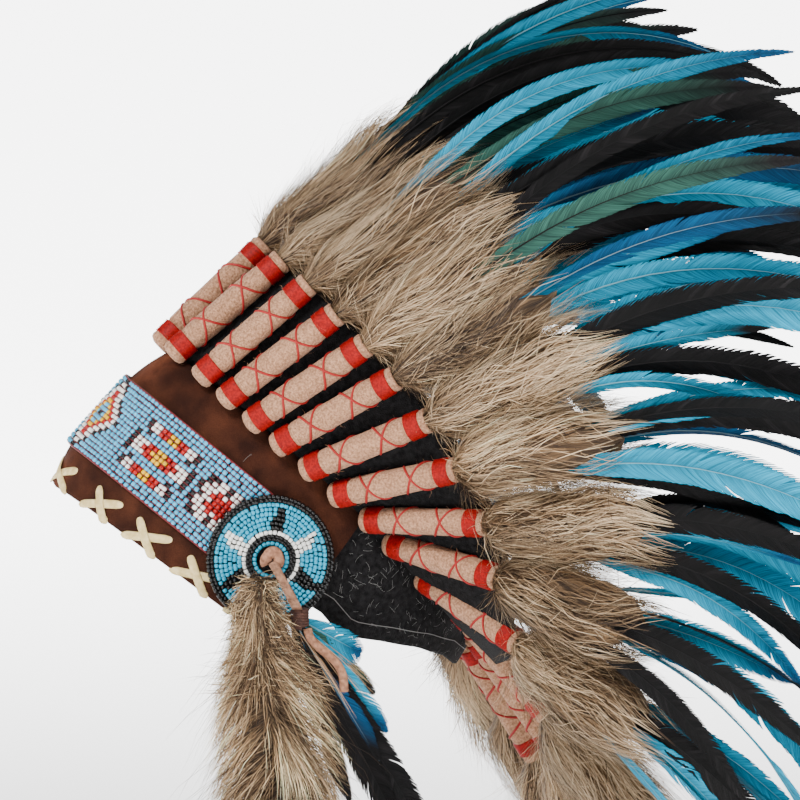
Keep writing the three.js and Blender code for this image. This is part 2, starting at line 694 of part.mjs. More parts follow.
function addLeftDrop() {
  const thong = thongPlace();
  const mouth = thong.ferruleTop.clone().add(new THREE.Vector3(0, 0, THONG_THICKNESS - FERRULE_LENGTH));
  const strap = named('thong_left', thongGeometry(thong), THONG_TAN);
  strap.position.copy(thong.knot);
  const drop = named('side_drop_left', dropGeometry(), FUR_TAUPE);
  drop.position.copy(mouth).addScaledVector(UP, -SEAT_GAP);
  const tail = named('thong_tail_left', thongTailGeometry(), THONG_TAN);
  const beside = new THREE.Vector3(TAIL_CORD_DIAMETER, TAIL_CORD_DIAMETER, -SEAT_GAP);
  tail.position.copy(mouth).add(beside);
  headdress.add(strap, drop, tail);
}

addQuills();
addRosettes();
addLeftDrop();

export default headdress;
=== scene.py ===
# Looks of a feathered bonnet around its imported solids. Sizes in millimetres, angles in degrees.
import math

import bpy
import numpy as np
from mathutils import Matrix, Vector


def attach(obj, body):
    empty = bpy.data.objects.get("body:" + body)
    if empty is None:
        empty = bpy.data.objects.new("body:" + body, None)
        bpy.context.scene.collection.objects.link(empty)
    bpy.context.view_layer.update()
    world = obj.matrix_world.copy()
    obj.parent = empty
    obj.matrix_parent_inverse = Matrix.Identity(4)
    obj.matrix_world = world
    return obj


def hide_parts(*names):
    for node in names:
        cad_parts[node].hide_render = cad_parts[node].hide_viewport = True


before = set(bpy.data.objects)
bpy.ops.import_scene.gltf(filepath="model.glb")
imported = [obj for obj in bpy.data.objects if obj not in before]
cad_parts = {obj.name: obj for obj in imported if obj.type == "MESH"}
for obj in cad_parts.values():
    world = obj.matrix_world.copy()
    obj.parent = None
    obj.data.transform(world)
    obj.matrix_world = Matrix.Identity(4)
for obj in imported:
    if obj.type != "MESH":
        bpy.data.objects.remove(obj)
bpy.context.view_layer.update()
MM = 0.001
rng = np.random.default_rng(41)

# Camera at the photo's angle, with its image 384 mm wide at the head
AZIMUTH, ELEVATION = 74, 14
CAMERA_DISTANCE, IMAGE_WIDTH, SENSOR_WIDTH = 8000, 384, 36
AIM_RIGHT, AIM_UP = -1.6, -1.4


def unit(v):
    v = np.asarray(v, float)
    return v / np.linalg.norm(v, axis=-1, keepdims=True)


def placed(name, data):
    """A new object in the scene."""
    made = bpy.data.objects.new(name, data)
    bpy.context.scene.collection.objects.link(made)
    return made


def looking(made, place, way):
    """Stands a camera or a light at a place in metres, facing a way."""
    made.location = Vector(place)
    made.rotation_mode = "QUATERNION"
    made.rotation_quaternion = Vector(way).to_track_quat("-Z", "Y")


a, e = math.radians(AZIMUTH), math.radians(ELEVATION)
to_camera = np.array([math.sin(a) * math.cos(e), -math.cos(a) * math.cos(e), math.sin(e)])
image_right = np.array([math.cos(a), math.sin(a), 0])
image_up = np.cross(to_camera, image_right)
camera = bpy.data.cameras.new("camera")
camera.sensor_width = SENSOR_WIDTH
camera.lens = SENSOR_WIDTH * CAMERA_DISTANCE / IMAGE_WIDTH
camera.dof.use_dof = False
target = AIM_RIGHT * image_right + AIM_UP * image_up
camera_object = placed("camera", camera)
looking(camera_object, (target + CAMERA_DISTANCE * to_camera) * MM, -to_camera)
bpy.context.scene.camera = camera_object


# Materials
def shader_input(made, name):
    return made.node_tree.nodes["Principled BSDF"].inputs[name]


def link(made, output, entry):
    made.node_tree.links.new(output, entry)


def material(name, colour, rough, coat=0.0, sheen=0.0, specular=0.5):
    made = bpy.data.materials.new(name)
    made.use_nodes = True
    shader_input(made, "Base Color").default_value = (*colour, 1)
    shader_input(made, "Roughness").default_value = rough
    shader_input(made, "Coat Weight").default_value = coat
    shader_input(made, "Sheen Weight").default_value = sheen
    shader_input(made, "Specular IOR Level").default_value = specular
    return made


def node(made, kind, **values):
    found = made.node_tree.nodes.new(kind)
    for name, value in values.items():
        if name in found.inputs:
            found.inputs[name].default_value = value
        else:
            setattr(found, name, value)
    return found


def noise_of(made, scale, detail, stretch):
    """Noise over the object or, where it is stretched, over the lay of hairs and barbs."""
    if stretch:
        mapping = node(made, "ShaderNodeMapping", Scale=stretch)
        lay = node(made, "ShaderNodeAttribute", attribute_name="lay").outputs["Vector"]
        link(made, lay, mapping.inputs["Vector"])
        coordinates = mapping.outputs["Vector"]
    else:
        coordinates = node(made, "ShaderNodeTexCoord").outputs["Object"]
    noise = node(made, "ShaderNodeTexNoise", Scale=scale, Detail=detail)
    link(made, coordinates, noise.inputs["Vector"])
    return noise.outputs[0]


def mottled(made, scale, detail, low, high, at=(0.35, 0.65), stretch=None):
    """Colour that runs from low to high with a noise."""
    ramp = node(made, "ShaderNodeValToRGB")
    for element, position, colour in zip(ramp.color_ramp.elements, at, (low, high)):
        element.position = position
        element.color = (*colour, 1)
    link(made, noise_of(made, scale, detail, stretch), ramp.inputs[0])
    return ramp.outputs[0]


def multiplied(made, first, second):
    mix = node(made, "ShaderNodeMix", data_type="RGBA", blend_type="MULTIPLY")
    mix.inputs[0].default_value = 1
    link(made, first, mix.inputs[6])
    link(made, second, mix.inputs[7])
    return mix.outputs[2]


def tint_of(made):
    return node(made, "ShaderNodeAttribute", attribute_name="tint").outputs["Color"]


def paint(made, colour):
    link(made, colour, shader_input(made, "Base Color"))


def grain(made, scale, detail, depth, strength, stretch=None):
    """Fine relief from a noise; depth is in metres."""
    bump = node(made, "ShaderNodeBump", Strength=strength, Distance=depth)
    link(made, noise_of(made, scale, detail, stretch), bump.inputs["Height"])
    link(made, bump.outputs[0], shader_input(made, "Normal"))


felt_black = material("felt_black", (0.006, 0.006, 0.006), 0.95, sheen=0.02, specular=0.15)
paint(felt_black, mottled(felt_black, 420, 5, (0.002, 0.002, 0.0022), (0.012, 0.0115, 0.012)))
grain(felt_black, 1500, 4, 0.0006, 0.9)

leather = material("leather_brown", (0.07, 0.03, 0.018), 0.85, specular=0.12)
nap = mottled(leather, 2600, 4, (0.4, 0.36, 0.34), (1.15, 1.1, 1.05), (0.25, 0.8))
hide = mottled(leather, 60, 5, (0.03, 0.0085, 0.004), (0.082, 0.026, 0.012))
paint(leather, multiplied(leather, multiplied(leather, nap, hide), tint_of(leather)))
grain(leather, 2200, 5, 0.0004, 0.6)

felt_beige = material("felt_beige", (0.6, 0.4, 0.28), 0.95, sheen=0.08)
paint(felt_beige, mottled(felt_beige, 900, 6, (0.24, 0.112, 0.055), (0.5, 0.265, 0.15)))
grain(felt_beige, 1300, 5, 0.0008, 0.9)

thread_red = material("thread_red", (0.5, 0.004, 0.002), 0.6, specular=0.2)
paint(thread_red, mottled(thread_red, 900, 3, (0.17, 0.0009, 0.0003), (0.36, 0.0018, 0.0005)))
thread_cross = material("thread_cross", (0.3, 0.0016, 0.0008), 0.65)
thread_pale = material("thread_pale", (0.16, 0.155, 0.15), 0.7)
thread_dark = material("thread_dark", (0.13, 0.002, 0.006), 0.6)

lace = material("lace_cream", (0.82, 0.73, 0.46), 0.6)
paint(lace, mottled(lace, 300, 3, (0.55, 0.4, 0.15), (0.76, 0.6, 0.29)))
grain(lace, 700, 3, 0.0004, 0.4)

thong = material("thong_tan", (0.4, 0.22, 0.13), 0.8)
worn_tan = mottled(thong, 500, 5, (0.2, 0.09, 0.05), (0.42, 0.22, 0.13))
paint(thong, multiplied(thong, worn_tan, tint_of(thong)))
grain(thong, 900, 4, 0.0006, 0.7)

beads = material("beads", (0.4, 0.6, 0.8), 0.25, coat=0.05, specular=0.35)
paint(beads, tint_of(beads))

fur = material("fur", (0.3, 0.22, 0.15), 0.55, specular=0.22)
paint(fur, tint_of(fur))

fur_core = material("fur_core", (0.3, 0.22, 0.15), 0.7)
hairs = mottled(fur_core, 1, 3, (0.1, 0.08, 0.065), (1.25, 1.2, 1.1), (0.34, 0.7), (3.2, 0.055, 1))
locks = mottled(fur_core, 1, 2, (0.34, 0.3, 0.27), (1.2, 1.18, 1.12), (0.38, 0.62), (0.3, 0.03, 1))
paint(fur_core, multiplied(fur_core, multiplied(fur_core, tint_of(fur_core), hairs), locks))
grain(fur_core, 1, 2, 0.0012, 0.9, (3.2, 0.05, 1))

vane = material("feather", (0.0, 0.3, 0.5), 0.6, specular=0.1)
barb_lines = mottled(vane, 1, 2, (0.36, 0.38, 0.4), (1.35, 1.32, 1.3), (0.3, 0.7), (2.2, 0.06, 5))
paint(vane, multiplied(vane, tint_of(vane), barb_lines))
grain(vane, 1, 2, 0.0008, 0.55, (2.6, 0.05, 5))


# Meshes
def faces_of(rows, columns, closed=False):
    """Quads of a grid of points; closed joins the last column to the first."""
    steps = np.arange(columns if closed else columns - 1)
    row, column = np.meshgrid(np.arange(rows - 1), steps, indexing="ij")
    right = (column + 1) % columns
    here, below = row * columns, (row + 1) * columns
    return np.stack([here + column, here + right, below + right, below + column], -1).reshape(-1, 4)


def repeated(quads, count, size):
    """The same quads for each of count pieces of size points."""
    return (quads[None] + (np.arange(count) * size)[:, None, None]).reshape(-1, 4)


def around(angle, first, second):
    """Directions at angles from first toward second."""
    return np.cos(angle)[..., None] * first + np.sin(angle)[..., None] * second


class Build:
    """Points and quads of one piece, collected before its mesh is made."""

    def __init__(self):
        self.points, self.quads, self.tints, self.lays, self.slots = [], [], [], [], []
        self.count = 0

    def add(self, points, quads, tint=(1, 1, 1), lay=(0, 0, 0), index=0):
        points = np.asarray(points, float).reshape(-1, 3)
        self.points.append(points)
        self.quads.append(np.asarray(quads) + self.count)
        self.tints.append(np.broadcast_to(np.asarray(tint, float), points.shape))
        self.lays.append(np.broadcast_to(np.asarray(lay, float), points.shape))
        self.slots.append(np.full(len(quads), index))
        self.count += len(points)

    def grid(self, points, closed=False, tint=(1, 1, 1), lay=(0, 0, 0), index=0):
        points = np.asarray(points, float)
        tint, lay = (x if np.ndim(x) < 3 else np.reshape(x, (-1, 3)) for x in (tint, lay))
        self.add(points, faces_of(*points.shape[:2], closed), tint, lay, index)

    def ribbons(self, lines, sides, tint=(1, 1, 1), lay=(0, 0, 0), index=0):
        """Flat strips: lines (n, p, 3) and their half-width vectors, tints and lays for each."""
        count, length, _ = lines.shape
        pairs = np.stack([lines - sides, lines + sides], 2)
        if np.ndim(tint) == 3:
            tint = np.repeat(tint[:, :, None], 2, 2).reshape(-1, 3)
        self.add(pairs, repeated(faces_of(length, 2), count, length * 2), tint, lay, index)

    def tube(self, line, radius, sides, tint=(1, 1, 1), index=0, squash=1.0, lean=(0.3, 0.2, 0.93)):
        """A round or flattened tube along a line; lean is the direction that squash thins."""
        line = np.asarray(line, float)
        tangent = unit(np.gradient(line, axis=0))
        out = unit(lean - tangent * (tangent * lean).sum(1, keepdims=True))
        flat = np.cross(tangent, out)
        angle = np.linspace(0, 2 * np.pi, sides, endpoint=False)
        radius = np.broadcast_to(radius, len(line))[:, None, None]
        ring = radius * around(angle, flat[:, None], squash * out[:, None])
        self.grid(line[:, None] + ring, True, tint, index=index)

    def make(self, name, materials, replaces=(), sign=1):
        points = np.concatenate(self.points) * [sign * MM, MM, MM]
        quads = np.concatenate(self.quads)
        if sign < 0:
            quads = quads[:, ::-1]
        mesh = bpy.data.meshes.new(name)
        mesh.vertices.add(len(points))
        mesh.vertices.foreach_set("co", points.ravel())
        mesh.loops.add(quads.size)
        mesh.loops.foreach_set("vertex_index", quads.ravel().astype(np.int32))
        mesh.polygons.add(len(quads))
        mesh.polygons.foreach_set("loop_start", np.arange(0, quads.size, 4, dtype=np.int32))
        mesh.polygons.foreach_set("use_smooth", np.full(len(quads), True))
        mesh.polygons.foreach_set("material_index", np.concatenate(self.slots).astype(np.int32))
        for made in materials:
            mesh.materials.append(made)
        colours = np.ones((len(points), 4))
        colours[:, :3] = np.concatenate(self.tints)
        tints = mesh.attributes.new("tint", "FLOAT_COLOR", "POINT")
        tints.data.foreach_set("color", colours.ravel())
        lays = mesh.attributes.new("lay", "FLOAT_VECTOR", "POINT")
        lays.data.foreach_set("vector", np.concatenate(self.lays).ravel())
        mesh.update(calc_edges=True)
        mesh.validate()
        made = placed(name, mesh)
        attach(made, "root")
        if replaces:
            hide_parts(*replaces)
        return made


def flat_across(lines, facing):
    """Directions across strips that lie flat to the facing direction."""
    return unit(np.cross(unit(np.gradient(lines, axis=1)), facing))


def turned(profile, sides, centre, axis, start, wobble=None):
    """A surface of revolution: profile of (along, radius) rows about an axis."""
    profile = np.asarray(profile, float)
    axis = unit(axis)
    first = unit(start - axis * (start @ axis))
    second = np.cross(axis, first)
    angle = np.linspace(0, 2 * np.pi, sides, endpoint=False)
    radius = profile[:, 1][:, None, None] * (1 if wobble is None else wobble[:, :, None])
    return centre + profile[:, 0][:, None, None] * axis + radius * around(angle, first, second)[None]


# The cap's own shape, as in the solids
HEAD_TILT = 42.4
CAP_FRONT_REACH, CAP_REAR_REACH, CAP_HALF_WIDTH = 109, 108, 68
CAP_DEPTH, CROWN_RISE, CAP_WALL = 80, 62, 2.5
LAYER_GAP, BAND_FACE, STRIP_FACE = 0.5, 2.5, 5.2
SLEEVE_LENGTH, SLEEVE_RADIUS, SEAT_GAP = 71, 6.7, 0.3
TUFT_HALF_WIDTH, FEATHER_REACH, FEATHER_CURL, STRAIGHT_RUN = 20, 312, 0.32, 95
# Sections of the cap: height, length and half width, as shares
SECTIONS = np.array([
    (-1, 0.955, 0.96), (-0.75, 1, 1), (-0.25, 0.99, 0.985), (-0.1, 0.965, 0.955), (0.08, 0.92, 0.885),
    (0.4, 0.8, 0.765), (0.7, 0.58, 0.55), (0.92, 0.28, 0.27), (1, 0, 0),
])
# Turn from the front, and height as a share of CAP_DEPTH
RIM = np.array([
    (0, -0.88), (60, -0.86), (84, -0.6), (97, -0.54), (106, -0.57), (118, -0.44), (131, -0.33),
    (145, -0.27), (180, -0.27),
])
BAND_LOW = np.array([(0, -1), (75, -0.9), (90, -0.88)])
STRIP_MIDDLE = np.array([(0, -0.5), (75, -0.46), (90, -0.46)])
# Quills: turn, seat in sleeve radii, lean, heading, share of FEATHER_REACH
QUILLS = np.array([
    (8.6, 0.6, 9, 155, 1.0), (26, 0.6, 10, 130, 0.99), (38, 0.52, 15, 122, 1.0),
    (49, 0.45, 20, 118, 0.98), (59, 0.45, 26, 117, 0.97), (69.5, 0.4, 35, 117, 0.98),
    (80, 0.3, 46, 117, 0.96), (91, 0.3, 58, 120, 0.95), (101.5, 0.15, 72, 119.5, 0.94),
    (116.5, -0.3, 85, 123, 0.92), (135, -0.45, 99.5, 152, 0.92), (156, -1.2, 104, 170, 0.9),
    (180, -1.9, 108, 180, 0.88),
])
cosine, sine = math.cos(math.radians(HEAD_TILT)), math.sin(math.radians(HEAD_TILT))


def cap_outer(turn, height):
    turn, height = np.broadcast_arrays(np.asarray(turn, float), np.asarray(height, float))
    share = np.where(height > 0, height / CROWN_RISE, height / CAP_DEPTH)
    soften = [-0.05, -0.025, 0, 0.025, 0.05]
    reach = np.mean([np.interp(share + d, SECTIONS[:, 0], SECTIONS[:, 1]) for d in soften], 0)
    half = np.mean([np.interp(share + d, SECTIONS[:, 0], SECTIONS[:, 2]) for d in soften], 0)
    angle = np.radians(turn)
    length = np.where(np.cos(angle) > 0, CAP_FRONT_REACH, CAP_REAR_REACH)
    return np.stack([np.sin(angle) * CAP_HALF_WIDTH * half, -np.cos(angle) * length * reach, height], -1)


def cap_normal(turn, height):
    height = np.minimum(height, CROWN_RISE * 0.95)
    across = cap_outer(turn + 1, height) - cap_outer(turn - 1, height)
    return unit(np.cross(across, cap_outer(turn, height + 3) - cap_outer(turn, height - 3)))


def turned_down(vector):
    """A direction of the head's own frame in the part's frame."""
    x, y, z = np.moveaxis(np.asarray(vector, float), -1, 0)
    return np.stack([x, y * cosine + z * sine, -y * sine + z * cosine], -1)


def height_at(table, turn):
    return np.interp(np.abs(turn), table[:, 0], table[:, 1]) * CAP_DEPTH


def to_part(point):
    return turned_down(np.asarray(point, float) - [0, 0, CROWN_RISE - CAP_WALL])


def over_cap(turn, height, proud):
    turn, height, proud = np.broadcast_arrays(*(np.asarray(x, float) for x in (turn, height, proud)))
    return to_part(cap_outer(turn, height) + cap_normal(turn, height) * proud[..., None])


def outward(turn, height):
    return turned_down(cap_normal(np.asarray(turn, float), np.asarray(height, float)))


def smooth_noise(shape, size, seed):
    """Soft random hills over a grid, between about -1 and 1."""
    local = np.random.default_rng(seed)
    rows, columns = (np.linspace(0, n / s, n) for n, s in zip(shape, size))
    total = np.zeros(shape)
    for _ in range(6):
        f, g, p, q = local.uniform(0.4, 1.4, 2).tolist() + local.uniform(0, 6.28, 2).tolist()
        total += np.sin(rows[:, None] * 6.28 * f + p) * np.sin(columns[None] * 6.28 * g + q)
    return total / 3


# Cap
CAP_COLUMNS = 144
FLAP_QUILLS, FLAP_ROOT, FLAP_THICKNESS = 11, 14, 0.9
# How far the flap runs under the quills, by their turn
FLAP_REACH = np.array([(0, 74), (102, 75), (117, 69), (136, 32)])
SEAM_RISE, SEAM_RADIUS = 8, 0.2


def add_flap(cap):
    """A black sheet in the cap's felt material that runs out from the crown under the wrapped quills of both
    sides and fills the gaps between them.
    """
    rows = QUILLS[:FLAP_QUILLS]
    reach = np.interp(rows[:, 0], FLAP_REACH[:, 0], FLAP_REACH[:, 1])
    seats = over_cap(rows[:, 0], rows[:, 1] * SLEEVE_RADIUS, -0.6)
    stem = np.linspace(0, 1, 6)[:, None]
    runs = []
    for place, far, seat in zip(quill_places(), reach, seats):
        line = place["line"]
        up = unit(place["out"] - line * (place["out"] @ line))
        points = place["foot"] + line * (FLAP_ROOT + (far - FLAP_ROOT) * stem) - up * (SLEEVE_RADIUS + 1.1)
        runs.append(np.concatenate([seat[None], points]))
    flap = np.concatenate([np.array(runs[::-1]) * [-1, 1, 1], runs])
    fine = np.linspace(0, len(flap) - 1, 5 * len(flap) + 1)
    low = np.minimum(fine.astype(int), len(flap) - 2)
    part_way = (fine - low)[:, None, None]
    sheet = flap[low] * (1 - part_way) + flap[low + 1] * part_way
    thick = unit(np.cross(np.gradient(sheet, axis=0), np.gradient(sheet, axis=1))) * FLAP_THICKNESS
    cap.grid(np.concatenate([sheet, (sheet + thick)[:, ::-1]], 1).swapaxes(0, 1))


def make_cap():
    turns = np.linspace(0, 360, CAP_COLUMNS + 1)[:-1]
    rim = height_at(RIM, (turns + 180) % 360 - 180)
    shoulder = -0.1 * CAP_DEPTH
    share = np.concatenate([np.linspace(0, 1, 14), 1 + np.linspace(0, 1, 16)[1:]])[:, None]
    height = np.where(
        share <= 1,
        rim[None] + (shoulder - rim[None]) * share,
        shoulder + (0.985 * CROWN_RISE - shoulder) * np.sin((share - 1) * np.pi / 2),
    )
    outer = over_cap(turns[None], height, 0)
    inner = over_cap(turns[None], height, -CAP_WALL)
    edge = over_cap(turns, rim - 0.9, -CAP_WALL / 2)[None]
    top_out = np.broadcast_to(to_part([0, 0, CROWN_RISE]), edge.shape)
    top_in = np.broadcast_to(to_part([0, 0, CROWN_RISE - CAP_WALL]), edge.shape)
    cap = Build()
    cap.grid(np.concatenate([top_in, inner[::-1], edge, outer, top_out]), True)
    add_flap(cap)
    seam_turn = np.append(turns, turns[:2])
    seam_height = np.append(rim, rim[:2]) + SEAM_RISE
    seam = over_cap(seam_turn, seam_height, 0.15)
    cap.tube(seam, SEAM_RADIUS, 4, index=1, lean=outward(seam_turn, seam_height))
    cap.make("cap_felt", [felt_black, thread_pale], ["cap"])


# Leather brow band and its lace
BAND_COLUMNS, BAND_ROWS, BAND_HALF_TURN = 181, 34, 90
# Turn and height of both ends of each stitch arm on one side
LACE_ARMS = [
    ((-11, -80), (12, -67)), ((24, -66), (34, -80)), ((20, -79.5), (36, -65.5)), ((42, -65), (53, -77)),
    ((40, -77.5), (54.5, -63)), ((60, -63), (71, -75)), ((58, -75), (73, -61)), ((77, -61), (86, -72)),
    ((76, -73), (88, -60)),
]


def make_band():
    turns = np.linspace(-BAND_HALF_TURN, BAND_HALF_TURN, BAND_COLUMNS)
    low, top = height_at(BAND_LOW, turns), 0.06 * CROWN_RISE
    share = np.linspace(0, 1, BAND_ROWS)[:, None]
    height = low[None] + (top - low[None]) * share
    crease = 0.35 * smooth_noise(height.shape, (20, 50), 5)
    outer = over_cap(turns[None], height, BAND_FACE + crease)
    inner = over_cap(turns[None], height, LAYER_GAP)
    low_edge = over_cap(turns, low - 0.7, 1.5)[None]
    top_edge = over_cap(turns, top + 0.7, 1.5)[None]
    # Painted highlight: the leather is lightened at the front fold, most towards its top edge, on top of a
    # random scuffed tone
    fold_highlight = np.exp(-((turns / 9) ** 2))[None] * np.clip(share * 1.4, 0.5, 1)
    scuffs_and_highlight = 0.85 + 0.2 * smooth_noise(height.shape, (8, 12), 8) + 1.6 * fold_highlight
    tint = scuffs_and_highlight[..., None] * [1.0, 0.97, 0.93]
    flat = np.ones((1, BAND_COLUMNS, 3))
    band = Build()
    # Painted highlight: the top edge row is lightened 1.5 times and the low edge row 1.2 times
    band.grid(
        np.concatenate([inner, top_edge, outer[::-1], low_edge, inner[:1]])[::-1],
        tint=np.concatenate([flat.repeat(BAND_ROWS, 0), 1.5 * flat, tint[::-1], 1.2 * flat, flat])[::-1],
    )
    band.make("brow_band_leather", [leather], ["brow_band"])


def make_lace():
    stitches = Build()
    arms = LACE_ARMS + [((-t1, h1), (-t2, h2)) for (t1, h1), (t2, h2) in LACE_ARMS]
    s = np.linspace(0, 1, 15)
    for number, ((t1, h1), (t2, h2)) in enumerate(arms):
        turn = t1 + (t2 - t1) * s
        height = np.maximum(h1 + (h2 - h1) * s, height_at(BAND_LOW, turn) - 0.6)
        # The second arm of each cross rides over the first
        hump = (0.9 if number % 2 else 0) * np.exp(-(((s - 0.5) / 0.17) ** 2))
        lift = 1.1 * np.sin(np.pi * s) ** 0.5 + hump
        line = over_cap(turn, height, BAND_FACE - 0.5 + lift)
        half = 2.1 * np.interp(s, [0, 0.12, 0.88, 1], [0.55, 1, 1, 0.5])
        stitches.tube(line, half, 10, squash=0.24, lean=outward(turn, height))
    stitches.make("lace_stitches", [lace])


# Beads
BEAD_SIDES = 8
BEAD_COLOURS = {
    "B": (0.07, 0.4, 0.62), "W": (0.82, 0.81, 0.76), "R": (0.36, 0.002, 0.001),
    "Y": (0.74, 0.42, 0.001), "K": (0.003, 0.003, 0.003), "T": (0.02, 0.33, 0.5),
}
STRIP_ROWS, ROW_PITCH, COLUMN_PITCH, STRIP_HALF_TURN = 17, 2.41, 2.78, 80
# Upper half of each motif, down to its middle row
MOTIF_TRIPLE = [
    ".KWWRRYYRRWWK.",
    ".KWWRRYYRRWWK.",
    "..K........K..",
    "K............K",
    "KWWWRRYYRRWWWK",
    "KWWRRYYYYRRWWK",
]
MOTIF_FLOWER = [
    ".KKWWKWWKK.",
    ".KWWWKWWWK.",
    "KWWWRWRWWWK",
    "KWWRRRRRWWK",
    ".KWWRRRWWK.",
]


def bead_template(length, radius):
    along = np.array([-0.5, -0.32, 0.32, 0.5])[:, None] * length
    size = np.array([0.66, 1, 1, 0.66])[:, None] * radius
    angle = np.linspace(0, 2 * np.pi, BEAD_SIDES, endpoint=False)
    points = np.stack([along + 0 * angle, size * np.cos(angle), size * np.sin(angle)], -1)
    return points.reshape(-1, 3), faces_of(4, BEAD_SIDES, True)


def string_beads(build, centres, axes, outs, length, radius, colours):
    """Many beads at once: hole axis, outward direction, colour of each. Each varies a little."""
    template, quads = bead_template(length, radius)
    count = len(centres)
    size = rng.normal(1, 0.045, (count, 1, 3)).clip(0.88, 1.1)
    axes = unit(axes + rng.normal(0, 0.05, axes.shape))
    third = unit(np.cross(outs, axes))
    outs = np.cross(axes, third)
    local = template[None] * size
    points = (
        centres[:, None] + local[..., :1] * axes[:, None] + local[..., 1:2] * third[:, None]
        + local[..., 2:] * outs[:, None]
    )
    shade = rng.normal(1, 0.07, (count, 1)).clip(0.82, 1.15)
    tint = np.repeat((np.asarray(colours) * shade).clip(0, 0.95), len(template), 0)
    build.add(points, repeated(quads, count, len(template)), tint)


def strip_height(turn, row):
    return height_at(STRIP_MIDDLE, turn) + (STRIP_ROWS // 2 - row) * ROW_PITCH


def strip_chart(turn_of):
    """A letter for each bead of one half: a half diamond in front, then two motifs."""
    columns = len(turn_of)
    chart = np.full((STRIP_ROWS, columns), "B")
    r, c = np.meshgrid(np.arange(STRIP_ROWS), np.arange(columns), indexing="ij")
    depth = (c + 0.5) / 7.2 + np.abs(r - 8) / 9.2
    for limit, letter in ((1.0, "K"), (0.9, "W"), (0.64, "R"), (0.5, "Y"), (0.34, "B"), (0.16, "K")):
        chart[depth < limit] = letter
    for upper, turn in ((MOTIF_TRIPLE, 36.5), (MOTIF_FLOWER, 58.5)):
        motif = upper + upper[-2::-1]
        first = int(np.abs(turn_of - turn).argmin()) - len(motif[0]) // 2
        top = (STRIP_ROWS - len(motif)) // 2
        for i, text in enumerate(motif):
            for j, letter in enumerate(text):
                if letter != "." and 0 <= first + j < columns:
                    chart[top + i, first + j] = letter
    return chart


def make_strip():
    fine = np.linspace(0, STRIP_HALF_TURN, 801)
    line = over_cap(fine, height_at(STRIP_MIDDLE, fine), STRIP_FACE)
    arc = np.concatenate([[0], np.cumsum(np.linalg.norm(np.diff(line, axis=0), axis=1))])
    turn_of = np.interp((np.arange(int(arc[-1] / COLUMN_PITCH)) + 0.5) * COLUMN_PITCH, arc, fine)
    chart = strip_chart(turn_of)
    rows = np.arange(STRIP_ROWS)[:, None]
    strip = Build()
    for sign in (1, -1):
        turn = sign * turn_of[None].repeat(STRIP_ROWS, 0) + rng.normal(0, 0.12, chart.shape)
        height = strip_height(turn, rows) + rng.normal(0, 0.08, chart.shape)
        centre = over_cap(turn, height, STRIP_FACE - 1.05 + rng.normal(0, 0.07, chart.shape)).reshape(-1, 3)
        up = unit(over_cap(turn, height + 1, STRIP_FACE) - over_cap(turn, height - 1, STRIP_FACE))
        colours = np.array([BEAD_COLOURS[x] for x in chart.ravel()])
        out = outward(turn, height).reshape(-1, 3)
        string_beads(strip, centre, up.reshape(-1, 3), out, 2.0, 1.29, colours)
    turns = np.linspace(-STRIP_HALF_TURN, STRIP_HALF_TURN, 161)
    for row in range(STRIP_ROWS + 1):
        edge = row in (0, STRIP_ROWS)
        height = strip_height(turns, row - 0.5 + (0.12 if row == 0 else -0.12 if edge else 0))
        thread = over_cap(turns, height, STRIP_FACE - (0.5 if edge else 0.55) + 0.05 * np.sin(turns * 3))
        strip.tube(thread, 0.6 if edge else 0.26, 5, index=1, lean=outward(turns, height))
    height = strip_height(turns[None], np.linspace(-0.4, STRIP_ROWS - 0.6, 5)[:, None])
    strip.grid(over_cap(turns[None], height, STRIP_FACE - 1.5)[::-1], index=2)
    strip.grid(over_cap(turns[None], height, BAND_FACE + LAYER_GAP), index=2)
    strip.make("beaded_strip_beads", [beads, thread_dark, felt_black], ["beaded_strip"])

ROSETTE_TURN, ROSETTE_HEIGHT, ROSETTE_THICKNESS = 76.7, -0.507 * CAP_DEPTH, 3.2
KNOT_RADIUS, KNOT_FLATNESS, THONG_RUN = 5.5, 0.6, (8.4, 11, -24)
THONG_THICKNESS, FERRULE_LENGTH = 2, 9
FERRULE_FOOT = THONG_THICKNESS - FERRULE_LENGTH - SEAT_GAP
RING_RADII = (7.9, 9.8, 11.3, 13.1, 15.3, 17.5, 19.7, 21.9, 24.1, 26.3, 28.3, 30.0)
ROSETTE_BACK = [(0, 0.01), (0, 30.2), (0.9, 30.5), (1.5, 29.6), (1.5, 0.01)]
rosette_out = outward(ROSETTE_TURN, ROSETTE_HEIGHT)
rosette_middle = over_cap(ROSETTE_TURN, ROSETTE_HEIGHT, STRIP_FACE + SEAT_GAP)
rosette_up = unit(image_up - rosette_out * (image_up @ rosette_out))
rosette_right = unit(np.cross(rosette_up, rosette_out))
knot_spot = rosette_middle + rosette_out * (ROSETTE_THICKNESS + SEAT_GAP + KNOT_FLATNESS * KNOT_RADIUS)
ferrule_top = knot_spot + THONG_RUN
drop_head = ferrule_top + [0, 0, FERRULE_FOOT]


def rosette_colour(ring, angle):
    """Colour by ring, from the middle, and by angle clockwise from the top."""
    angle = (angle + 180) % 360 - 180
    if ring in (1, 2) or ring > 9:
        return "K"
    if ring == 3:
        return "W"
    if ring == 0:
        return "T"
    out = ring - 4
    if -2 + 2.6 * out < angle < 22 - 1.6 * out:
        return "K"
    if abs(abs(angle) - 121) < 15 - 2.4 * out:
        return "K"
    if out < 5 and abs(abs(angle) - 68 + 2 * out) < 13 - 2.1 * out:
        return "W"
    return "T"


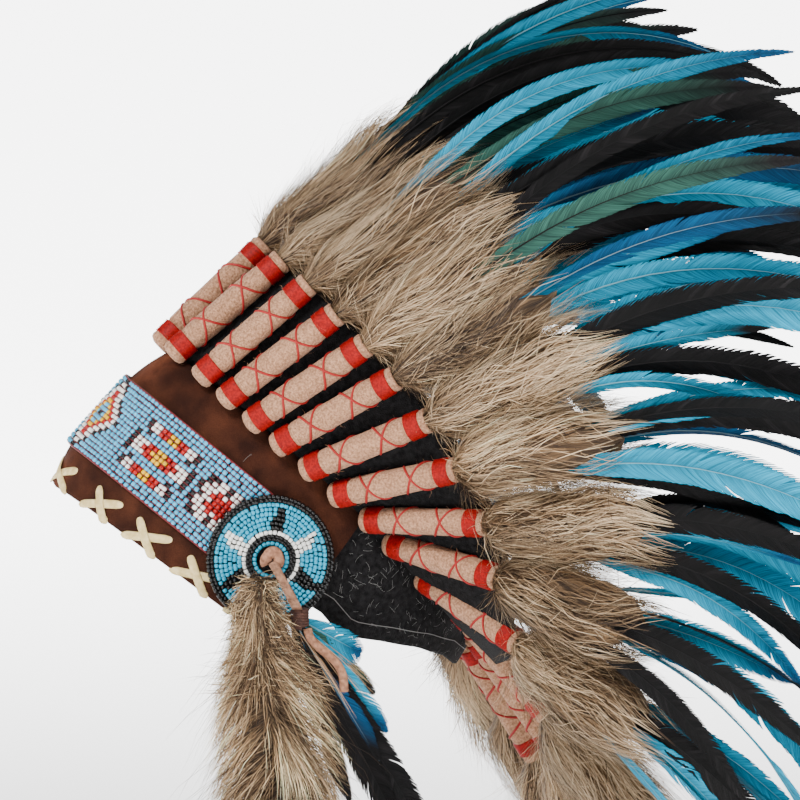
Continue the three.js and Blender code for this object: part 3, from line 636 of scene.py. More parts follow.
def make_rosette():
    disc = Build()
    disc.grid(turned(ROSETTE_BACK, 64, rosette_middle, rosette_out, rosette_up), True, index=1)
    for ring, radius in enumerate(RING_RADII):
        count = int(2 * np.pi * radius / 2.12)
        angle = (np.arange(count) + rng.uniform()) * 360 / count + rng.normal(0, 0.5, count)
        ray = around(np.radians(angle), rosette_up, rosette_right)
        tangent = around(np.radians(angle), rosette_right, -rosette_up)
        lift = ROSETTE_THICKNESS - 1.1 - 0.9 * (radius / 30) ** 4
        centre = rosette_middle + ray * radius + rosette_out * (lift + rng.normal(0, 0.06, (count, 1)))
        colours = np.array([BEAD_COLOURS[rosette_colour(ring, x)] for x in angle])
        string_beads(disc, centre, tangent, np.broadcast_to(rosette_out, centre.shape), 1.9, 1.1, colours)
    for side, sign in (("left", 1), ("right", -1)):
        disc.make(f"rosette_beads_{side}", [beads, felt_black], [f"rosette_{side}"], sign)


# Wrapped quills
SLEEVE_SIDES, BAND_WINDINGS, SLEEVE_HAIRS = 24, 8, 26
RED_BANDS = ((4.7, 12.5), (59.5, 67.3))
# Distance from the foot, and radius
SLEEVE_PROFILE = np.array([
    (0.2, 0.05), (0.5, 3.6), (1.5, 5.6), (3.0, 6.3), (4.6, 6.1), (6, 5.6), (12.4, 5.6), (14, 6.15),
    (24, 6.45), (36, 6.4), (48, 6.45), (58, 6.2), (59.4, 5.9), (61, 5.6), (67, 5.6), (68.2, 6.05),
    (70.2, 6.15), (70.9, 5.8), (70.9, 5.2), (70.0, 4.9), (66, 4.8), (62, 0.05),
])


def quill_places():
    found = []
    for turn, seat, lean, heading, reach in QUILLS:
        height = seat * SLEEVE_RADIUS
        under = BAND_FACE if turn < BAND_HALF_TURN + 5 else 0
        normal = cap_normal(np.array(turn), np.array(height))
        heel = cap_outer(turn, height) + normal * (under + SEAT_GAP + SLEEVE_RADIUS)
        tilt, way = math.radians(lean), math.radians(heading)
        line = np.array([math.sin(tilt) * math.sin(way), -math.sin(tilt) * math.cos(way), math.cos(tilt)])
        foot = heel - SLEEVE_RADIUS * line
        found.append({
            "foot": to_part(foot), "line": turned_down(line), "mouth": to_part(foot + SLEEVE_LENGTH * line),
            "out": turned_down(normal), "reach": reach,
        })
    return found


def make_sleeve(number, place, names):
    seed = np.random.default_rng(900 + number)
    axis, foot = place["line"], place["foot"]
    face = unit(to_camera * 0.8 + place["out"])
    shape = (len(SLEEVE_PROFILE), SLEEVE_SIDES)
    wobble = 1 + 0.025 * smooth_noise(shape, (7, 9), 70 + number) + seed.normal(0, 0.008, shape)
    wobble[:, -1] = (wobble[:, 0] + wobble[:, -2]) / 2
    sleeve = Build()
    sleeve.grid(turned(SLEEVE_PROFILE, SLEEVE_SIDES, foot, axis, face, wobble), True)
    for start, stop in RED_BANDS:
        steps = np.linspace(start, stop, 2 * BAND_WINDINGS + 1)
        crest = 0.5 * (np.arange(len(steps)) % 2)
        ridge = SLEEVE_RADIUS - 0.42 + crest + 0.08 * np.sin(steps * 1.7 + number)
        ridge[0] = ridge[-1] = 5.6
        sleeve.grid(turned(np.stack([steps, ridge], -1), 22, foot, axis, face), True, index=1)
    second = np.cross(axis, unit(face - axis * (face @ axis)))
    first = np.cross(second, axis)
    s = np.linspace(0, 1, 57)
    for way in (1, -1):
        ray = around(np.pi + way * 2 * np.pi * 2 * s + 0.12 * np.sin(s * 9 + number), first, second)
        line = foot + axis * (12.2 + 47.5 * s)[:, None] + ray * 6.55
        sleeve.tube(line, 0.6, 4, index=2, lean=ray)
    size = (SLEEVE_HAIRS, 3)
    s = seed.uniform(2, 70, SLEEVE_HAIRS)
    ray = around(seed.uniform(0, 6.28, SLEEVE_HAIRS), first, second)
    root = foot + axis * s[:, None] + ray * 6.2
    way = unit(ray + seed.normal(0, 0.8, size))
    length = seed.uniform(1.5, 4.5, SLEEVE_HAIRS)[:, None]
    tip = root + unit(way + seed.normal(0, 0.5, size)) * length
    line = np.stack([root, root + way * length * 0.5, tip], 1)
    side = unit(np.cross(line[:, 1] - line[:, 0], seed.normal(0, 1, size)))
    sleeve.ribbons(line, side[:, None] * np.array([0.09, 0.07, 0.03])[None, :, None])
    for sign, name in names:
        sleeve.make(f"wrapped_{name}", [felt_beige, thread_red, thread_cross], [name], sign)


# Fur
FUR_DARK, FUR_TAUPE, FUR_LIGHT, FUR_CREAM = (np.array(c) for c in (
    (0.03, 0.016, 0.008), (0.25, 0.15, 0.075), (0.48, 0.32, 0.18), (0.74, 0.57, 0.37),
))
DROOP = unit([0, 0.3, -1])
# How far the first pairs of plumes lean back from their quills
FRONT_LEANS = (14, 10, 7, 4, 2)
TUFT_STRANDS, TUFT_CLUMPS, STRAND_POINTS, GOLDEN_TURN = 2240, 18, 4, 2.39996
STRAND_TAPER = np.array([1, 1, 0.8, 0.12])
# The core of a tuft: distance from the quill's mouth, share of the tuft's radius
TUFT_CORE = np.array([
    (-5, 0.85), (0, 0.85), (5, 0.8), (14, 0.76), (62, 0.72), (80, 0.5), (87, 0.2), (90, 0.02),
])


def plume_frame(line):
    bend = unit(DROOP - line * (DROOP @ line))
    return line, bend, unit(np.cross(line, bend))


def plume_axes(number, line):
    """The frame of one plume: the first few lean back over the crown."""
    lean = FRONT_LEANS[number] if number < len(FRONT_LEANS) else 0
    return aimed(plume_frame(line), -lean, 0)


def aimed(axes, swing, spread):
    line, bend, across = axes
    line = unit(line - bend * math.tan(math.radians(swing)) + across * math.tan(math.radians(spread)))
    return line, unit(bend - line * (bend @ line)), across


def spine(start, axes, along, curl=FEATHER_CURL):
    """Points, forward, bend and across directions at distances along a line that starts to curl."""
    line, bend, across = axes
    along = np.asarray(along, float)[..., None]
    straight = np.minimum(along, STRAIGHT_RUN)
    angle = math.radians(curl) * (along - straight)
    radius = 1 / math.radians(curl)
    point = start + line * (straight + radius * np.sin(angle)) + bend * radius * (1 - np.cos(angle))
    forward = line * np.cos(angle) + bend * np.sin(angle)
    turned_bend = bend * np.cos(angle) - line * np.sin(angle)
    return point, forward, turned_bend, np.broadcast_to(across, point.shape)


def fur_tints(seed, count, streak, points):
    """Colours along each strand: a darker root, streaked middles, light or dark tips."""
    kind = (seed.uniform(0, 1, count) + streak)[:, None]
    base = np.where(kind < 0.34, FUR_DARK * 1.4, np.where(kind < 0.74, FUR_TAUPE, FUR_LIGHT))[:, None]
    dark_tip = (seed.uniform(0, 1, count) + 0.6 * streak < 0.32)[:, None]
    tip = np.where(dark_tip, FUR_DARK * 1.5, np.where(kind < 0.5, FUR_LIGHT, FUR_CREAM))[:, None]
    t = np.linspace(0, 1, points)[None, :, None]
    early = np.minimum(t * 2.2, 1)
    late = np.clip((t - 0.45) / 0.4, 0, 1)
    colour = base * 0.5 * (1 - early) + base * early
    return (colour * (1 - late) + tip * late) * seed.normal(1, 0.14, (count, 1, 1)).clip(0.65, 1.35)


def make_tuft(number, place, girth, names):
    seed = np.random.default_rng(300 + number)
    axes, start = plume_axes(number, place["line"]), place["mouth"]
    stations = np.array([-4, 0, 2, 7, 15, 44, 77, 98, 114])
    wide = np.array([
        4.2, 4.4, 6.3, 0.78 * girth(5), 0.98 * girth(15), 1.1 * girth(44), 1.08 * girth(77),
        0.8 * girth(98), 0.5 * girth(104),
    ])
    wide[3:] *= (0.72, 0.86, 0.95)[number] if number < 3 else 1
    clump_angle = (np.arange(TUFT_CLUMPS) * GOLDEN_TURN + seed.uniform(0, 6.28)) % (2 * np.pi)
    clump_start = seed.permutation(np.linspace(-14, 66, TUFT_CLUMPS))
    clump_lift = seed.normal(0, 0.05, TUFT_CLUMPS)
    clump_streak = seed.normal(-0.02, 0.32, TUFT_CLUMPS)
    clump_tone = np.exp(seed.normal(0, 0.24, TUFT_CLUMPS))
    clump_bow = seed.normal(0, 2.6, (TUFT_CLUMPS, 2))
    phase = seed.uniform(0, 6.28, 4)

    def radius(s, angle):
        """The tuft is lumpy in long swept locks, and the same lumps carry core and strands."""
        grown = np.clip(s / 20, 0, 1)
        lump = 1 + 0.09 * np.sin(3 * angle + 0.035 * s + phase[0]) * grown
        lump = lump + 0.06 * np.sin(5 * angle - 0.06 * s + phase[1]) * grown
        return np.interp(s, stations, wide) * lump

    def laid(s, angle, share):
        point, _, bend, level = spine(start, axes, s)
        sweep = 1.6 * np.sin(0.05 * s + phase[2]) * np.clip(s / 40, 0, 1.2)
        ray = around(angle, bend, level)
        return point + bend * sweep[..., None] + ray * (radius(s, angle) * share)[..., None], ray

    count = TUFT_STRANDS
    own = seed.integers(0, TUFT_CLUMPS, count)
    loose, stray, frizz = (seed.uniform(0, 1, count) < share for share in (0.24, 0.05, 0.06))
    s0 = np.clip(clump_start[own] + seed.normal(0, 15, count), -3, 78)
    s0[: count // 8] = seed.uniform(-4, 1.5, count // 8)
    s0 = np.where(frizz, seed.uniform(-1, 7, count), s0)
    angle0 = clump_angle[own] + seed.normal(0, 0.5, count)
    length = np.where(loose, seed.uniform(12, 32, count), seed.uniform(28, 56, count)) + 14 * stray
    length = np.where(frizz, seed.uniform(-1, 12, count), length)
    tip_s = np.minimum(s0 + length, 96 + seed.uniform(0, 20, count))
    angle1 = clump_angle[own] + 0.55 * (angle0 - clump_angle[own]) + seed.normal(0, 0.08, count)
    angle1 = np.where(loose, angle0 + seed.normal(0, 0.45, count), angle1)
    t = np.linspace(0, 1, STRAND_POINTS)
    s = s0[:, None] + (tip_s - s0)[:, None] * t
    angle = angle0[:, None] + (angle1 - angle0)[:, None] * t + 0.09 * np.sin(s * 0.13 + 2 * own[:, None])
    rise = 0.35 + clump_lift[own] + seed.normal(0, 0.06, count)
    rise += np.where(loose, seed.uniform(-0.1, 0.24, count), 0)
    rise += np.where(frizz, seed.uniform(0.2, 1.0, count), 0)
    rise += 0.36 * stray
    line, ray = laid(s, angle, 0.7 + rise[:, None] * t ** 0.6)
    _, _, bend, level = spine(start, axes, s)
    bow = clump_bow[own, 0][:, None, None] * bend + clump_bow[own, 1][:, None, None] * level
    line = line + bow * (t ** 2)[None, :, None] + seed.normal(0, 0.2, line.shape) * t[None, :, None]
    half = seed.uniform(0.1, 0.2, count) * np.where(stray | frizz, 0.55, 1)
    side = flat_across(line, ray) * (half[:, None] * STRAND_TAPER)[..., None]
    tuft = Build()
    tints = fur_tints(seed, count, clump_streak[own], STRAND_POINTS) * clump_tone[own][:, None, None]
    tuft.ribbons(line, side, tints.clip(0, 0.9))
    core_s = np.concatenate([[-5, -3, 0, 2, 5, 9], np.linspace(14, 84, 16), [88, 90]])
    core_share = np.interp(core_s, TUFT_CORE[:, 0], TUFT_CORE[:, 1])[:, None]
    s, angle = np.meshgrid(core_s, np.linspace(0, 2 * np.pi, 29)[:-1], indexing="ij")
    core, _ = laid(s, angle + 0.012 * s, core_share)
    lay = np.stack([radius(s, angle) * angle, s, np.full(s.shape, 7.0 * number)], -1)
    shade = 0.85 + 0.25 * np.sin(4 * angle + 0.05 * s + phase[3]) + seed.normal(0, 0.06, s.shape)
    shade = shade * np.interp(core_s, [-5, 2, 12], [0.5, 0.6, 1])[:, None]
    tuft.grid(core, True, tint=FUR_TAUPE * 1.25 * shade[..., None], lay=lay, index=1)
    for sign, name in names:
        tuft.make(f"fur_{name}", [fur, fur_core], [name], sign)


# Feathers
TURQUOISE, DEEP_BLUE, BLACK, SAGE = (np.array(c) for c in (
    (0.0, 0.25, 0.4), (0.0, 0.06, 0.15), (0.004, 0.0036, 0.0038), (0.028, 0.095, 0.072),
))
# Colours of a feather at its base, middle and tip
PAINT = {
    "T": (TURQUOISE, TURQUOISE * 1.12, DEEP_BLUE), "D": (TURQUOISE, DEEP_BLUE, BLACK),
    "K": (BLACK * 1.6, BLACK, BLACK), "S": (SAGE, SAGE * 0.8, BLACK * 2), "M": (DEEP_BLUE, TURQUOISE, BLACK),
}
# Colours of each quill's feathers, from the brow to the nape
SPREADS = [
    "KTKSDTTK", "TKTSKTKT", "KDTKTMTT", "TKTSTKTK", "KTKDTTKT", "TKTKTMTT", "KTDKTTKT", "TKMKTTTK",
    "KTTKDTKT", "TKTKTMTT", "KTDKTTKT", "TKTKTMTK", "KTDKTTKT",
]
# Feathers of one quill: reach, swing, spread, width, curl
FEATHER_ROWS = [
    (0.99, 2, 2.5, 1.0, 1.0), (0.96, -3, -3, 0.9, 1.06), (0.88, 0, 5, 0.9, 1.2), (0.8, 5, -5, 0.85, 0.8),
    (0.72, -6, 2, 0.9, 1.3), (0.6, 1, -2, 0.8, 0.7), (0.66, -9, -6, 0.6, 1.4), (0.83, 8, 7, 0.58, 1.1),
]
BARBS, BARB_LOCKS = 74, 8
# Half width along a feather, in shares
VANE = np.array([
    (0, 0.2), (0.05, 0.5), (0.2, 0.84), (0.45, 1), (0.7, 0.86), (0.87, 0.52), (0.96, 0.24), (1, 0.05),
])
# Along a barb: how far forward and out it is, half width in steps, shade
BARB_FORWARD, BARB_OUT = np.array([0, 0.35, 0.7, 1]), np.array([0, 0.42, 0.78, 1.0])
BARB_SIZE, BARB_SHADE = np.array([0.62, 0.62, 0.6, 0.34]), np.array([0.62, 0.95, 1.1, 0.95])


def add_feather(build, seed, start, axes, reach, root, half, curl, colours, twist):
    u = np.linspace(0, 1, BARBS + 1)
    width = half * np.interp(u, VANE[:, 0], VANE[:, 1])
    along = root + (reach - root) * u
    point, forward, bend, across = spine(start, axes, along, curl)
    turn = math.radians(twist) * (1 - 0.6 * u) + 0.25 * np.sin(3 * u + twist)
    flat = around(turn, bend, across)
    normal = np.cross(forward, flat)
    step = (reach - root) / BARBS
    splits = np.sort(seed.choice(np.arange(8, BARBS - 4), BARB_LOCKS - 1, replace=False))
    group = np.searchsorted(splits, np.arange(BARBS))
    base, middle, tip = colours
    blend_in = np.interp(u, [0, 0.3, 0.75, 1], [0, 1, 1, 1])[:, None]
    tipped = np.interp(u, [0.62, 0.9], [0, 1])[:, None]
    tone = (base * (1 - blend_in) + middle * blend_in) * (1 - tipped) + tip * tipped
    for side in (1, -1):
        lean = seed.normal(0, 0.08, BARB_LOCKS)[group] + seed.normal(0, 0.012, BARBS)
        sag = seed.normal(0, 0.07, BARB_LOCKS)[group][:, None]
        own = (width[:-1] * (1 + seed.normal(0, 0.022, BARBS)) * (0.88 if side < 0 else 1.0))[:, None]
        ahead = own * (1.8 + lean * 2.5)[:, None] * (1 - 0.2 * u[:-1])[:, None] * BARB_FORWARD ** 1.15
        lines = (
            point[:-1, None]
            + side * flat[:-1, None] * (own * BARB_OUT)[..., None]
            + forward[:-1, None] * ahead[..., None]
            + normal[:-1, None] * (own * (0.1 * BARB_OUT + sag * BARB_OUT ** 2))[..., None]
        )
        # Strips lie along the spine at their roots and thin to a point
        sides = forward[:-1, None] * (step * BARB_SIZE)[None, :, None]
        uneven = 0.07 if middle.max() > 0.02 else 0.45
        shade = np.exp(seed.normal(0, uneven, (BARBS, 1, 1))) * BARB_SHADE[None, :, None]
        tint = np.repeat((tone[:-1, None] * shade).clip(0.003, 0.95)[:, :, None], 2, 2)
        lay = np.zeros(tint.shape)
        lay[..., 0] = along[:-1, None, None] + [0, step * 1.24]
        lay[..., 1] = (BARB_FORWARD * 12)[:, None]
        lay[..., 2] = seed.uniform(0, 90)
        build.ribbons(lines, sides, tint.reshape(-1, 3), lay.reshape(-1, 3))
    pick = np.linspace(0, BARBS, 20).astype(int)
    pale = middle * 0.5 + np.array([0.12, 0.16, 0.15]) if middle.max() > 0.12 else BLACK * 1.5
    build.tube(point[pick] + normal[pick] * 0.2, np.linspace(0.7, 0.14, 20), 4, tint=pale, lean=normal[pick])


def make_feathers(number, place, names):
    seed = np.random.default_rng(500 + number)
    axes = plume_axes(number, place["line"])
    build = Build()
    for letter, (reach, swing, spread, width, curl) in zip(SPREADS[number], FEATHER_ROWS):
        aim = aimed(axes, swing + seed.normal(0, 2.2), spread + seed.normal(0, 3.0))
        root, half = 42 + seed.uniform(0, 26), 10.6 * width * seed.uniform(0.78, 1.08)
        bent = FEATHER_CURL * curl * seed.uniform(0.7, 1.25)
        twist = seed.choice([-1, 1]) * seed.uniform(5, 55)
        far = FEATHER_REACH * place["reach"] * reach
        add_feather(build, seed, place["mouth"], aim, far, root, half, bent, PAINT[letter], twist)
    for sign, name in names:
        build.make(f"feathers_{name}", [vane], (), sign)


def make_crown():
    places = quill_places()
    last = len(places) - 1
    opposite = lambda other: {**other, **{key: other[key] * [-1, 1, 1] for key in ("mouth", "line")}}
    beyond = lambda other, s: spine(other["mouth"], plume_frame(other["line"]), [s])[0][0]
    for number, place in enumerate(places):
        beside = [
            opposite(place) if number == 0 else places[number - 1],
            opposite(places[last - 1]) if number == last else places[number + 1],
        ]

        def girth(s, place=place, beside=beside):
            gap = min(np.linalg.norm(beyond(place, s) - beyond(other, s)) for other in beside)
            return min(TUFT_HALF_WIDTH, max(gap / 2, 7.0) * 1.3)

        sides = [(1, "left"), (-1, "right")] if number < last else [(1, "middle")]
        names = [(sign, f"{side}_{number + 1:02d}") for sign, side in sides]
        make_sleeve(number, place, [(sign, f"quill_wrap_{name}") for sign, name in names])
        plumes = [(sign, f"plume_{name}") for sign, name in names]
        make_tuft(number, place, girth, plumes)
        make_feathers(number, place, plumes)


# Thongs
TAIL_ROUTE = [
    (0, 0, 0), (0.3, 0.4, -2.5), (1, 1.4, -5), (2, 3.4, -7.5), (3, 5.8, -9.8), (3.8, 8.4, -12),
    (4.4, 11, -14.4), (4.8, 13.4, -17.2), (5, 15.2, -20.4), (5, 16.2, -23.8), (4.9, 16.6, -27.4),
    (4.8, 16.7, -31),
]


def add_knot(build):
    """A flat thong folded over itself in a knot, over the rosette's middle."""
    out, up, right = rosette_out, rosette_up, rosette_right
    for offset, spread, lift in ((0, 4.6, 0.0), (1.6, 3.6, 1.5)):
        turn = np.linspace(-2.2, 2.2, 15)
        sideways = spread * np.sin(turn) * 0.8
        line = knot_spot + up * (offset + 3.4 * np.cos(turn))[:, None] + right * sideways[:, None]
        line = line + out * (lift - 0.6 * np.abs(turn))[:, None]
        build.tube(line, 2.3, 10, squash=0.5, lean=out, tint=(1.05, 0.95, 0.9))


def make_thongs():
    strap = Build()
    add_knot(strap)
    s = np.linspace(0, 1, 14)[:, None]
    run = ferrule_top - knot_spot
    line = knot_spot + run * s + rosette_out * (1.2 * np.sin(np.pi * s)) - rosette_up * 0.5
    strap.tube(line, 2.3, 10, squash=0.42, lean=rosette_out + 0.4 * np.sin(5 * s) * rosette_right)
    turns = np.linspace(0, 2 * np.pi * 6, 109)
    fall = np.linspace(1.4, -6.8, 109)
    spiral = ferrule_top + np.stack([3.7 * np.cos(turns), 3.7 * np.sin(turns), fall], -1)
    strap.tube(spiral, 0.95, 6, tint=(0.16, 0.1, 0.09))
    profile = [(1.6, 0.05), (1.5, 3.4), (-6.9, 3.1), (-7.2, 0.05)]
    core = turned(profile, 16, ferrule_top, np.array([0, 0, 1.0]), np.array([1.0, 0, 0]))
    strap.grid(core[::-1], True, tint=(0.2, 0.13, 0.12))
    strap.make("thong_strap", [thong], ["thong_left"])
    knot = Build()
    add_knot(knot)
    knot.make("thong_knot", [thong], ["thong_knot_right"], -1)

    tail = Build()
    route = np.array(TAIL_ROUTE) + (ferrule_top + [3, 3, FERRULE_FOOT])
    fine = np.linspace(0, len(route) - 1, 56)
    path = np.stack([np.interp(fine, np.arange(len(route)), route[:, k]) for k in range(3)], -1)
    for _ in range(3):
        path[1:-1] = (path[:-2] + 2 * path[1:-1] + path[2:]) / 4
    tail.tube(path, 2.1, 10, squash=0.5, lean=to_camera, tint=(1.0, 0.92, 0.86))
    for end, run, way in ((path[0], path[1] - path[0], -1), (path[-1], path[-1] - path[-3], 1)):
        profile = [(0, 1.0), (0.15 * way, 0.7), (0.2 * way, 0.02)]
        tail.grid(turned(profile, 10, end, unit(run), np.array([1.0, 0, 0])), True)
    cord = tail.make("thong_tail", [thong], ["thong_tail_left"])


# Side drop
DROP_LENGTH, DROP_HALF_WIDTH, DROP_HALF_DEPTH = 172, 27, 16
DROP_HAIRS, DROP_CLUMPS = 9400, 84
# Sections of the drop: share of its length, then width, depth, place ahead and place outward
DROP = np.array([
    (-0.16, 0.3, 0.3, 0.84, 0.5), (-0.08, 0.44, 0.4, 0.86, 0.45), (0.04, 0.56, 0.5, 0.76, 0.35),
    (0.15, 0.86, 0.75, 0.66, 0.35), (0.27, 1.02, 0.95, 0.55, 0.4), (0.4, 1.14, 1, 0.44, 0.45),
    (0.6, 1.1, 1, 0.44, 0.45), (0.8, 0.86, 0.85, 0.4, 0.45), (1, 0.2, 0.2, 0.35, 0.45),
    (1.2, 0.1, 0.1, 0.3, 0.45),
])
# Hackles in front of the tan tuft: swing, lift, reach, half width, colour, curl
HACKLES = [
    (31, 2, 165, 9, "K", 0.16), (26, 4, 150, 8, "K", 0.2), (38, 1, 78, 7, "T", 0.1),
    (30, 3, 86, 7, "D", 0.1), (22, 2, 70, 6.5, "T", 0.12), (45, -1, 60, 6, "S", 0.08),
    (16, 8, 96, 7, "K", 0.14), (58, -2, 42, 8, "T", 0.9),
]


def in_drop(share, angle, size, wave=0):
    """Points about the drop's middle line; size is a share of its own half sizes there."""
    wide, deep, ahead, out = (np.interp(share, DROP[:, 0], DROP[:, k]) for k in (1, 2, 3, 4))
    crosswave = np.fliplr(np.atleast_2d(wave))
    return drop_head + np.stack(np.broadcast_arrays(
        out * DROP_HALF_DEPTH + np.sin(angle) * deep * DROP_HALF_DEPTH * size + wave,
        -ahead * DROP_HALF_WIDTH + np.cos(angle) * wide * DROP_HALF_WIDTH * size + crosswave,
        -share * DROP_LENGTH,
    ), -1)


def make_drop():
    seed = np.random.default_rng(77)
    count, points, clumps = DROP_HAIRS, 5, DROP_CLUMPS
    # Hairs part along a wandering line down each face and sweep out and down from it in locks
    parting = lambda share, face: face * (np.pi / 2) + 0.32 * np.sin(7 * share + 0.6) - 0.12
    clump_face = np.where(np.arange(clumps) % 3 < 2, 1, -1)
    clump_share = seed.permutation(np.linspace(-0.16, 0.84, clumps))
    clump_sweep = seed.uniform(0.15, 1.75, clumps) * np.where(np.arange(clumps) % 2 < 1, 1, -1)
    clump_streak = seed.normal(-0.1, 0.36, clumps)
    clump_tone = np.exp(seed.normal(-0.08, 0.3, clumps))
    own = seed.integers(0, clumps, count)
    guard = seed.uniform(0, 1, count) < 0.05
    downy = seed.uniform(0, 1, count) < 0.2
    share0 = np.clip(clump_share[own] + seed.normal(0, 0.035, count), -0.16, 0.86)
    share0 = np.where(downy, seed.uniform(-0.17, 0.16, count), share0)
    length = np.where(guard, seed.uniform(30, 52, count), seed.uniform(16, 36, count)) / DROP_LENGTH
    length = np.where(downy, seed.uniform(-0.02, 0.07, count), length)
    share1 = np.minimum(share0 + length, 1.0 + seed.uniform(0, 0.08, count))
    sweep = np.where(downy, seed.uniform(-2.2, 2.2, count), clump_sweep[own] + seed.normal(0, 0.22, count))
    t = np.linspace(0, 1, points)
    share = share0[:, None] + (share1 - share0)[:, None] * (0.45 * t + 0.55 * t ** 2)
    fan = 0.12 + 0.88 * (1 - (1 - t) ** 1.6)
    angle = sweep[:, None] * fan + seed.normal(0, 0.1, (count, 1))
    angle = parting(share0, clump_face[own])[:, None] + angle
    spring = np.where(guard, seed.uniform(0.2, 0.9, count), 0)
    spring = spring + np.where(downy, seed.uniform(0, 0.3, count), 0)
    lift = 0.62 + (0.42 + seed.normal(0, 0.12, count) + spring)[:, None] * t
    crimp = np.where(downy, 1.7, 1.1)[:, None]
    wave = crimp * np.sin(t[None] * (4 + 3 * crimp) + seed.uniform(0, 6.28, (count, 1))) * t[None]
    line = in_drop(share, angle, lift, wave)
    facing = unit(to_camera + seed.normal(0, 0.5, (count, 1, 3)))
    half = np.where(guard, 0.1, seed.uniform(0.1, 0.2, count))[:, None] * np.array([1, 1, 0.9, 0.6, 0.1])
    tint = fur_tints(seed, count, clump_streak[own], points)
    tint = tint * np.array([0.22, 0.45, 0.85, 1.15, 1.25])[None, :, None] * clump_tone[own][:, None, None]
    tint = tint * np.array([1.04, 1.0, 0.93])
    tint = np.where(guard[:, None, None], FUR_DARK * 1.8, tint).clip(0, 0.9)
    tail = Build()
    tail.ribbons(line, flat_across(line, facing) * half[..., None], tint)
    share = np.linspace(-0.1, 0.95, 22)[:, None]
    turn = np.linspace(0, 2 * np.pi, 20, endpoint=False)
    size = 0.66 * np.interp(share, [-0.1, -0.04, 0.9, 0.95], [0.1, 0.9, 0.8, 0.05])
    core = in_drop(share, turn, size)
    lay = np.stack(np.broadcast_arrays(turn * 12, share * DROP_LENGTH, 0), -1)
    tail.grid(core, True, tint=FUR_DARK * 1.5, lay=lay, index=1)
    tail.make("side_drop_fur", [fur, fur_core], ["side_drop_left"])
    make_hackles(seed)
def make_hackles(seed):
    hackles = Build()
    # A soft tan tuft spreads behind the hackles
    tan = 520
    swing = np.radians(seed.uniform(34, 56, tan))
    tilt = np.radians(seed.normal(-4, 5, tan))
    way = np.stack([np.sin(tilt), np.sin(swing), -np.cos(swing)], -1)
    s = np.linspace(0, 1, STRAND_POINTS)[:, None]
    lengths = seed.uniform(24, 56, tan)[:, None, None]
    line = drop_head + [-1.5, -5, 5] + seed.normal(0, 0.8, (tan, 1, 3)) + way[:, None] * lengths * s
    line = line + np.array([0, 0, -7.0]) * s ** 2 + seed.normal(0, 0.5, line.shape) * s
    side = flat_across(line, to_camera) * (0.16 * STRAND_TAPER)[:, None]
    tint = fur_tints(seed, tan, 0.25, STRAND_POINTS) * np.array([1.1, 0.92, 0.75])
    hackles.ribbons(line, side, tint, index=1)
    for swing, lift, reach, half, letter, curl in HACKLES:
        swing, lift = math.radians(swing), math.radians(lift)
        line = unit([math.sin(lift), math.sin(swing), -math.cos(swing)])
        bend = unit(np.array([0, -1, 0]) + line * line[1])
        axes, twist = (line, bend, unit(np.cross(line, bend))), seed.uniform(-20, 20)
        add_feather(hackles, seed, drop_head + [0.5, -5, 7], axes, reach, 4, half, curl, PAINT[letter], twist)
    hackles.make("side_drop_feathers", [vane, fur])


# Pale stray hairs: turns and heights between which they lie, how proud, and how many
LINT_FIELDS = ((92, 160, -34, -1, 0.25, 190), (-88, 88, -78, 2, BAND_FACE + 0.5, 20))


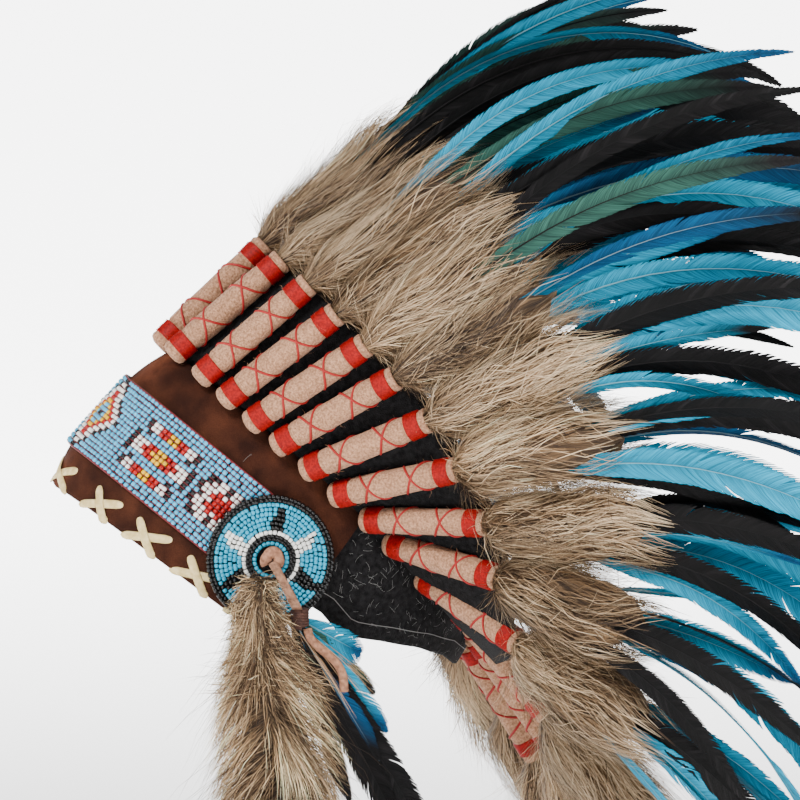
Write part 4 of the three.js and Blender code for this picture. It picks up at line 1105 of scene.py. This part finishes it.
def make_lint():
    seed = np.random.default_rng(12)
    lint = Build()
    for low, high, bottom, top, proud, count in LINT_FIELDS:
        turn, height = seed.uniform(low, high, count), seed.uniform(bottom, top, count)
        way = seed.uniform(0, 6.28, count)[:, None]
        length = seed.uniform(1, 5.5, count)[:, None]
        s = np.linspace(-0.5, 0.5, 6)
        bow = seed.normal(0, 0.3, (count, 1)) * (s ** 2 - 0.25)[None] * length
        turns = turn[:, None] + (s[None] * length * np.cos(way) - bow * np.sin(way)) * 0.6
        heights = height[:, None] + s[None] * length * np.sin(way) + bow * np.cos(way)
        line = over_cap(turns, heights, proud)
        lint.ribbons(line, flat_across(line, outward(turns, heights)) * 0.035, tint=(0.3, 0.29, 0.28))
    lint.make("lint", [fur])


make_cap()
make_band()
make_lace()
make_strip()
make_rosette()
make_crown()
make_thongs()
make_drop()
make_lint()

# Stage and light
FLOOR_HALF, FLOOR_HEIGHT = 9, -0.47
# The floor glows more the further out it is, up to the pale ground behind the object
FLOOR_GLOW = {"From Min": 0.7, "From Max": 1.9, "To Min": 0.25, "To Max": 6.0}
corners = [(x * FLOOR_HALF, y * FLOOR_HALF, FLOOR_HEIGHT) for x, y in ((-1, -1), (1, -1), (1, 1), (-1, 1))]
floor_mesh = bpy.data.meshes.new("floor")
floor_mesh.from_pydata(corners, [], [(0, 1, 2, 3)])
floor_paint = material("floor", (0.95, 0.95, 0.95), 0.9)
shader_input(floor_paint, "Emission Color").default_value = (1, 1, 1, 1)
distance = node(floor_paint, "ShaderNodeVectorMath", operation="LENGTH")
link(floor_paint, node(floor_paint, "ShaderNodeTexCoord").outputs["Object"], distance.inputs[0])
glow = node(floor_paint, "ShaderNodeMapRange", interpolation_type="SMOOTHSTEP", **FLOOR_GLOW)
link(floor_paint, distance.outputs["Value"], glow.inputs["Value"])
link(floor_paint, glow.outputs[0], shader_input(floor_paint, "Emission Strength"))
floor_mesh.materials.append(floor_paint)
floor = placed("floor", floor_mesh)

world = bpy.data.worlds.new("world")
bpy.context.scene.world = world
world.use_nodes = True
world.node_tree.nodes["Background"].inputs[0].default_value = (1, 1, 1, 1)
world.node_tree.nodes["Background"].inputs[1].default_value = 0.3


def area_light(name, place, size, power):
    light = bpy.data.lights.new(name, "AREA")
    light.size = size
    light.energy = power
    looking(placed(name, light), place, -Vector(place))


area_light("key", (1.0, -1.4, 1.9), 0.6, 78)
area_light("fill", (2.0, 0.6, 0.6), 1.0, 16)
area_light("rim", (-1.4, 0.6, 1.5), 1.0, 22)
